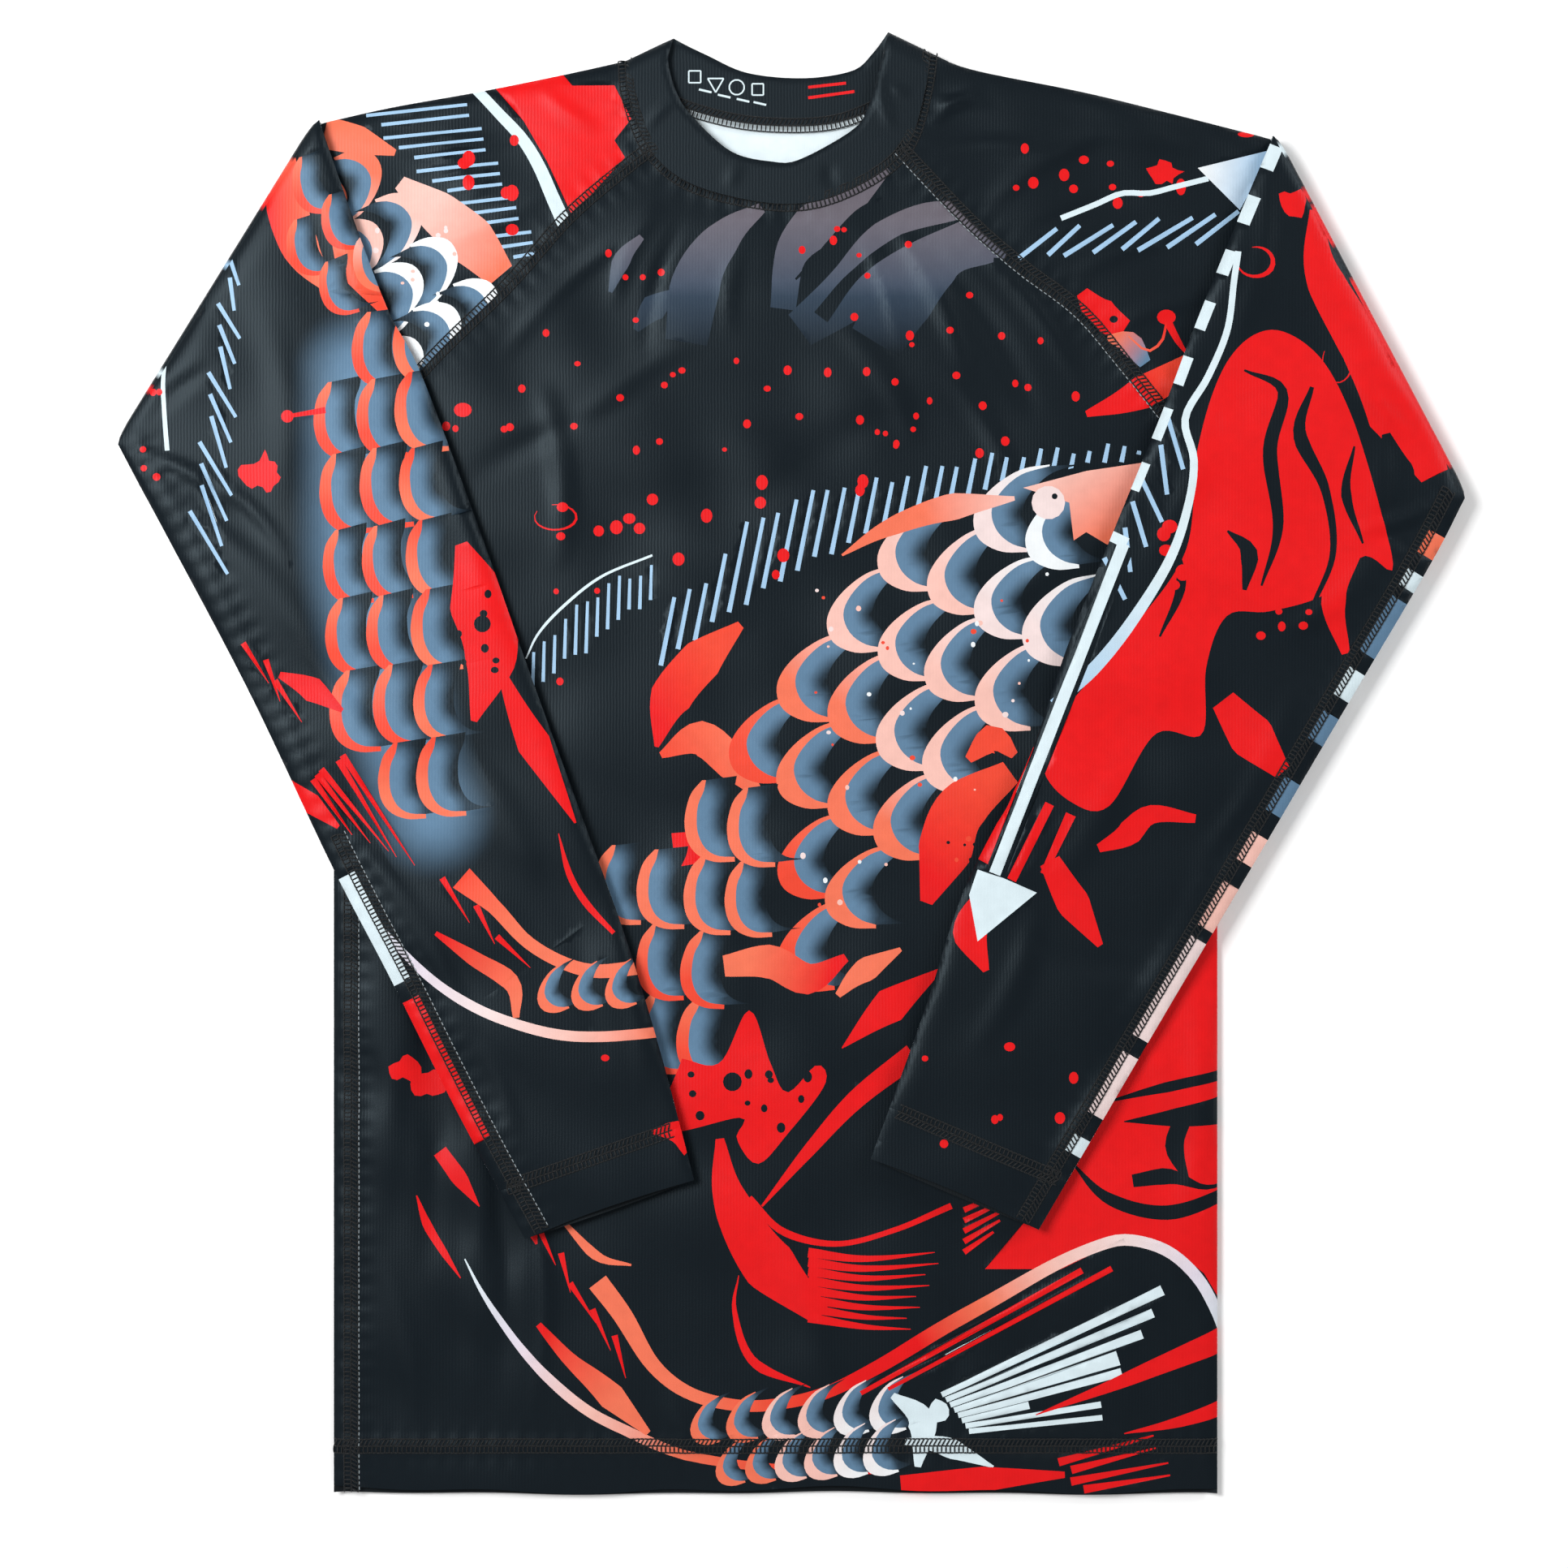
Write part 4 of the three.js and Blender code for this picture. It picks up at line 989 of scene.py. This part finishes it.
def sleeve_turn(side):
    """A sleeve's turn at its fold: half round, from the upper sleeve's back to the lower sleeve's top."""
    line, top = FOLD[side], folded_height(side)[0]
    out = np.array([line[-1][1] - line[0][1], line[0][0] - line[-1][0]])
    out /= math.hypot(*out)
    if (out[0] > 0) != (side == "left"):
        out = -out
    ends = lens(np.minimum(np.hypot(*(line - line[0]).T), np.hypot(*(line - line[-1]).T)), 14)
    round_it = np.linspace(-math.pi / 2, math.pi / 2, 13)
    turned = np.array([[(*(p + out * (FOLD_GAP + 2.2 * end) * math.cos(a)), (low + high) / 2
                         + (high - low) / 2 * math.sin(a)) for a in round_it]
                       for p, low, high, end in zip(line, back_height(line), top(line), ends)])
    many, wide = turned.shape[:2]
    corners = [(i * wide + j, (i + 1) * wide + j) for i in range(many - 1) for j in range(wide - 1)]
    faces = np.array([face for a, d in corners for face in ((a, a + 1, d + 1), (a, d + 1, d))])
    flat = turned.reshape(-1, 3)
    a, b, c = (flat[faces[:, i]] for i in range(3))
    if (np.cross(b - a, c - a)[:, :2] @ out).sum() < 0:
        faces = faces[:, ::-1]

    # It carries the print on from the edge of the lower sleeve.
    source = np.repeat(line - out * 1.5, wide, 0)
    ink = np.tile(INK["black"], (len(flat), 1))
    for shape, paint in print_lower[side]:
        mine = inside(source, shape)
        if mine.any():
            ink[mine] = paint(source[mine])
    wrap = cloth(f"{side}_sleeve_turn", [(flat, faces, ink[faces])], KNIT, SINGLE, [], None,
                 "sleeve_printed_knit", lambda p: np.ones(len(p)), line[-1] - line[0])
    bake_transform(wrap)


cuff_seam, sleeve_outline = {}, {}
for side in ("right", "left"):
    upper_sleeve(side)
    cuff_seam[side], sleeve_outline[side] = lower_sleeve(side)
    sleeve_turn(side)

# ---------------------------------------------------------------- the collar
collar_front, collar_back = smooth(COLLAR_FRONT, 3.0), smooth(COLLAR_BACK, 3.0)


def from_collar_ends(p):
    return np.min([near(p, end)[0] for end in COLLAR_ENDS], 0)


def collar_front_height(p):
    edge = near(p, collar_front)[0]
    soft = creases(p, [(-70, 300, -52, 318, 3, 0.5), (48, 300, 42, 330, 3, 0.6), (-30, 272, -24, 286, 4, 0.4),
                       (20, 272, 18, 286, 4, -0.4), (56, 318, 46, 322, 2.5, 0.5)])
    rise = lens(from_collar_ends(p), 8) * (LOFT + 0.5 + soft + 0.15 * sway(p))
    return MIDDLE + rise - 1.1 * (1 - lens(edge, 2.2))


def collar_back_height(p):
    edge = near(p, collar_back)[0]
    return MIDDLE - 1.9 * lens(from_collar_ends(p), 8) - 0.7 * (1 - lens(edge, 1.8)) + 0.2 * sway(p)


def collar_wall(p):
    return lens(from_collar_ends(p), 4)


def care_marks():
    """Plain marks inside the collar: outlines of two squares, a triangle and a ring, dashes and two bars."""
    marks = []
    for x, y, sides, r in [(-46, 333, 4, 4), (-36, 330, 3, 4.4), (-26, 328, 12, 3.6), (-16, 327, 4, 3.8)]:
        turn = np.radians(90 + 180 / sides) + np.linspace(0, 2 * math.pi, sides + 1)
        outline = np.stack([x + r * np.cos(turn), y - 6 + r * np.sin(turn)], 1)
        marks += [stroke(*a, *b, 0.7, 0.7, "ice") for a, b in zip(outline[:-1], outline[1:])]
    for x, y in [(-44, 321), (-35, 318.5), (-26, 316.5), (-18, 315)]:
        marks.append(stroke(x, y, x + 6, y - 1.4, 1.0, 1.0, "ice"))
    marks += [stroke(8, 317, 30, 320, 1.4, 1.4, "red"), stroke(8, 322, 26, 324, 1.4, 1.4, "red")]
    return marks


for name, outline, art, height, nodes in [
        ("collar_on_front", chain(neck_front, collar_front[::-1]), [], collar_front_height, ["collar_band"]),
        ("collar_on_back", chain(neck_back, collar_back[::-1]), care_marks(), collar_back_height, [])]:
    cloth(name, [layer(outline, art, height, 2.4)], BAND, COLLAR, nodes, "shirt_body", "dark_knit",
          collar_wall)


# ---------------------------------------------------------------- stitches
def one_stitch():
    """One bite of thread, 1 long and 1 thick, drawn out from a ball."""
    bpy.ops.object.select_all(action="DESELECT")
    bpy.ops.mesh.primitive_uv_sphere_add(segments=6, ring_count=4, radius=0.5)
    ball = bpy.context.object
    ball.rotation_euler = (0, math.pi / 2, 0)
    bpy.ops.object.transform_apply(location=False, rotation=True, scale=False)
    points = np.array([v.co for v in ball.data.vertices])
    faces = [tuple(f.vertices) for f in ball.data.polygons]
    bpy.data.objects.remove(ball)
    return points, faces


BITE, BITE_FACES = one_stitch()


def stitches(name, bites, nodes, body="shirt_body", ink=black_thread):
    """Copies of one stitch, each laid from one point to another, in one piece."""
    starts, ends, thick = (np.array([b[i] for b in bites], float) for i in range(3))
    forward = ends - starts
    long = np.linalg.norm(forward, axis=1)[:, None]
    forward /= long
    sideways = np.cross((0, 0, 1.0), forward)
    sideways /= np.linalg.norm(sideways, axis=1)[:, None]
    over = np.cross(forward, sideways)
    points = ((starts + ends) / 2)[:, None] + forward[:, None] * (BITE[:, :1] * (long[:, None] + 0.4)) \
        + sideways[:, None] * (BITE[:, 1:2] * thick[:, None, None]) \
        + over[:, None] * (BITE[:, 2:] * thick[:, None, None])
    count = len(BITE)
    faces = [tuple(i * count + v for v in f) for i in range(len(bites)) for f in BITE_FACES]
    mesh = bpy.data.meshes.new(name)
    mesh.from_pydata((points.reshape(-1, 3) * MM).tolist(), [], faces)
    obj = bpy.data.objects.new(name, mesh)
    bpy.context.collection.objects.link(obj)
    mesh.materials.append(ink)
    select(obj)
    bpy.ops.object.shade_smooth()
    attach(obj, body)
    if nodes:
        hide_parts(*nodes)


def ladder(line, height, up=1.0):
    """A flat seam: a chain along each side and along the middle, and two rows of bars between them."""
    line = smooth(line, STITCH) if len(line) > 2 else straight(line, STITCH)
    rows = {k: beside(line, k * SEAM / 2) for k in (-1, 0, 1)}
    lift = {k: np.column_stack([row, height(row) + up * 0.22]) for k, row in rows.items()}
    raised = (0, 0, up * 0.12)
    bites = []
    for i in range(len(line) - 1):
        for k in (-1, 0, 1):
            bites.append((lift[k][i], lift[k][i + 1], 0.75))
        bites.append((lift[-1][i] + raised, lift[0][i] + raised, 0.8))
        bites.append((lift[0][i] + raised, lift[1][i + 1] + raised, 0.8))
    return bites


def dotted(line, offset, height, pitch=2.6):
    """A row of short straight stitches beside a seam."""
    line = beside(smooth(line, pitch), offset)
    high = np.column_stack([line, height(line) + 0.2])
    return [(high[i], high[i] * 0.4 + high[i + 1] * 0.6, 0.6) for i in range(len(line) - 1)]


stitches("collar_stitches", ladder(neck_front, front_height) + ladder(neck_back, collar_back_height),
         ["collar_seam"])
for side in ("right", "left"):
    body = f"{side}_lower_sleeve"
    top, under, _ = folded_height(side)
    stitches(f"{side}_raglan_stitches", ladder(raglan[side], front_height), [f"{side}_raglan_seam_front"])
    stitches(f"{side}_back_raglan_stitches", ladder(raglan[side], back_height, -1),
             [f"{side}_raglan_seam_back"])
    underarm = beside(smooth(UNDERARM[side]), SEAM_IN if side == "left" else -SEAM_IN)[1:-2]
    stitches(f"{side}_upper_underarm_stitches", ladder(underarm, front_height),
             [f"{side}_underarm_seam_upper"])
    seam = sleeve_seam[side]
    shown = seam[inside(seam, sleeve_outline[side]) & (near(seam, FOLD[side])[0] > 3)]
    if side == "right":  # high up, this sleeve's seam is on its lower face
        stitches("right_sleeve_under_stitches", ladder(shown[shown[:, 1] > -34], under, -1),
                 ["right_underarm_seam_under"], body)
        shown = shown[shown[:, 1] < -30]
    stitches(f"{side}_sleeve_stitches", ladder(shown, top), [f"{side}_underarm_seam_lower"], body)
    stitches(f"{side}_cuff_stitches", ladder(cuff_seam[side], top) + ladder(cuff_seam[side], under, -1),
             [f"{side}_cuff_stitching"], body)
right_side, left_side = straight(SIDE_SEAM["right"]), straight(SIDE_SEAM["left"])
stitches("right_side_stitches", ladder(right_side, front_height), ["right_side_seam"])
stitches("left_side_stitches", ladder(left_side, back_height, -1), ["left_side_seam"])
stitches("bottom_hem_stitches", ladder(hem_line, front_height) + ladder(hem_line, back_height, -1),
         ["bottom_hem_stitching"])
stitches("left_raglan_light_stitches", dotted(raglan["left"], -3.7, front_height), [], ink=pale_thread)
stitches("right_side_light_stitches", dotted(right_side, 3.7, front_height), [], ink=pale_thread)
right_seam = sleeve_seam["right"]
stitches("right_sleeve_light_stitches", dotted(right_seam[right_seam[:, 1] < -30], 3.7,
                                               folded_height("right")[0]), [],
         "right_lower_sleeve", pale_thread)

# ---------------------------------------------------------------- floor, light and camera
bpy.ops.object.select_all(action="DESELECT")
bpy.ops.mesh.primitive_plane_add(size=8, location=(0, 0, -0.0006))
floor = bpy.context.object
floor.name = "pale_floor"
paper, tree = material("white_table_top")  # laminate: matt, even and nearly white
grain = node(tree, "ShaderNodeTexNoise", Vector=node(tree, "ShaderNodeTexCoord").outputs["Object"],
             Scale=40.0)
bump = node(tree, "ShaderNodeBump", Strength=0.02, Height=grain.outputs[0])
surface = node(tree, "ShaderNodeBsdfPrincipled", Base_Color=rgba("#FBFBFB"), Roughness=0.8,
               Specular_IOR_Level=0.1, Normal=bump.outputs[0])
node(tree, "ShaderNodeOutputMaterial", Surface=surface.outputs[0])
floor.data.materials.append(paper)

world = bpy.data.worlds.new("studio")
bpy.context.scene.world = world
world.use_nodes = True
world.node_tree.nodes["Background"].inputs[0].default_value = (1, 1, 1, 1)
world.node_tree.nodes["Background"].inputs[1].default_value = 0.3
for name, place, size, power in [("key", (-0.9, 0.42, 1.5), 0.7, 31), ("side", (1.5, 1.1, 1.0), 0.8, 18),
                                 ("fill", (0.6, -2.3, 1.5), 1.4, 14)]:
    lamp = bpy.data.lights.new(name, "AREA")
    lamp.size, lamp.energy = size, power
    holder = bpy.data.objects.new(name, lamp)
    bpy.context.collection.objects.link(holder)
    holder.location = place
    holder.rotation_euler = (Vector((0, 0, 0)) - Vector(place)).to_track_quat("-Z", "Y").to_euler()

LENS, SENSOR = 85, 36
VIEW = 743.8 * MM       # width of what the camera sees at the shirt
SHIRT_TOP = 8 * MM
camera = bpy.data.objects.new("camera", bpy.data.cameras.new("camera"))
bpy.context.collection.objects.link(camera)
camera.data.lens, camera.data.sensor_width = LENS, SENSOR
camera.location = (-3.5 * MM, -9.6 * MM, VIEW * LENS / SENSOR + SHIRT_TOP)
bpy.context.scene.camera = camera
bpy.context.scene.view_settings.view_transform = "Standard"
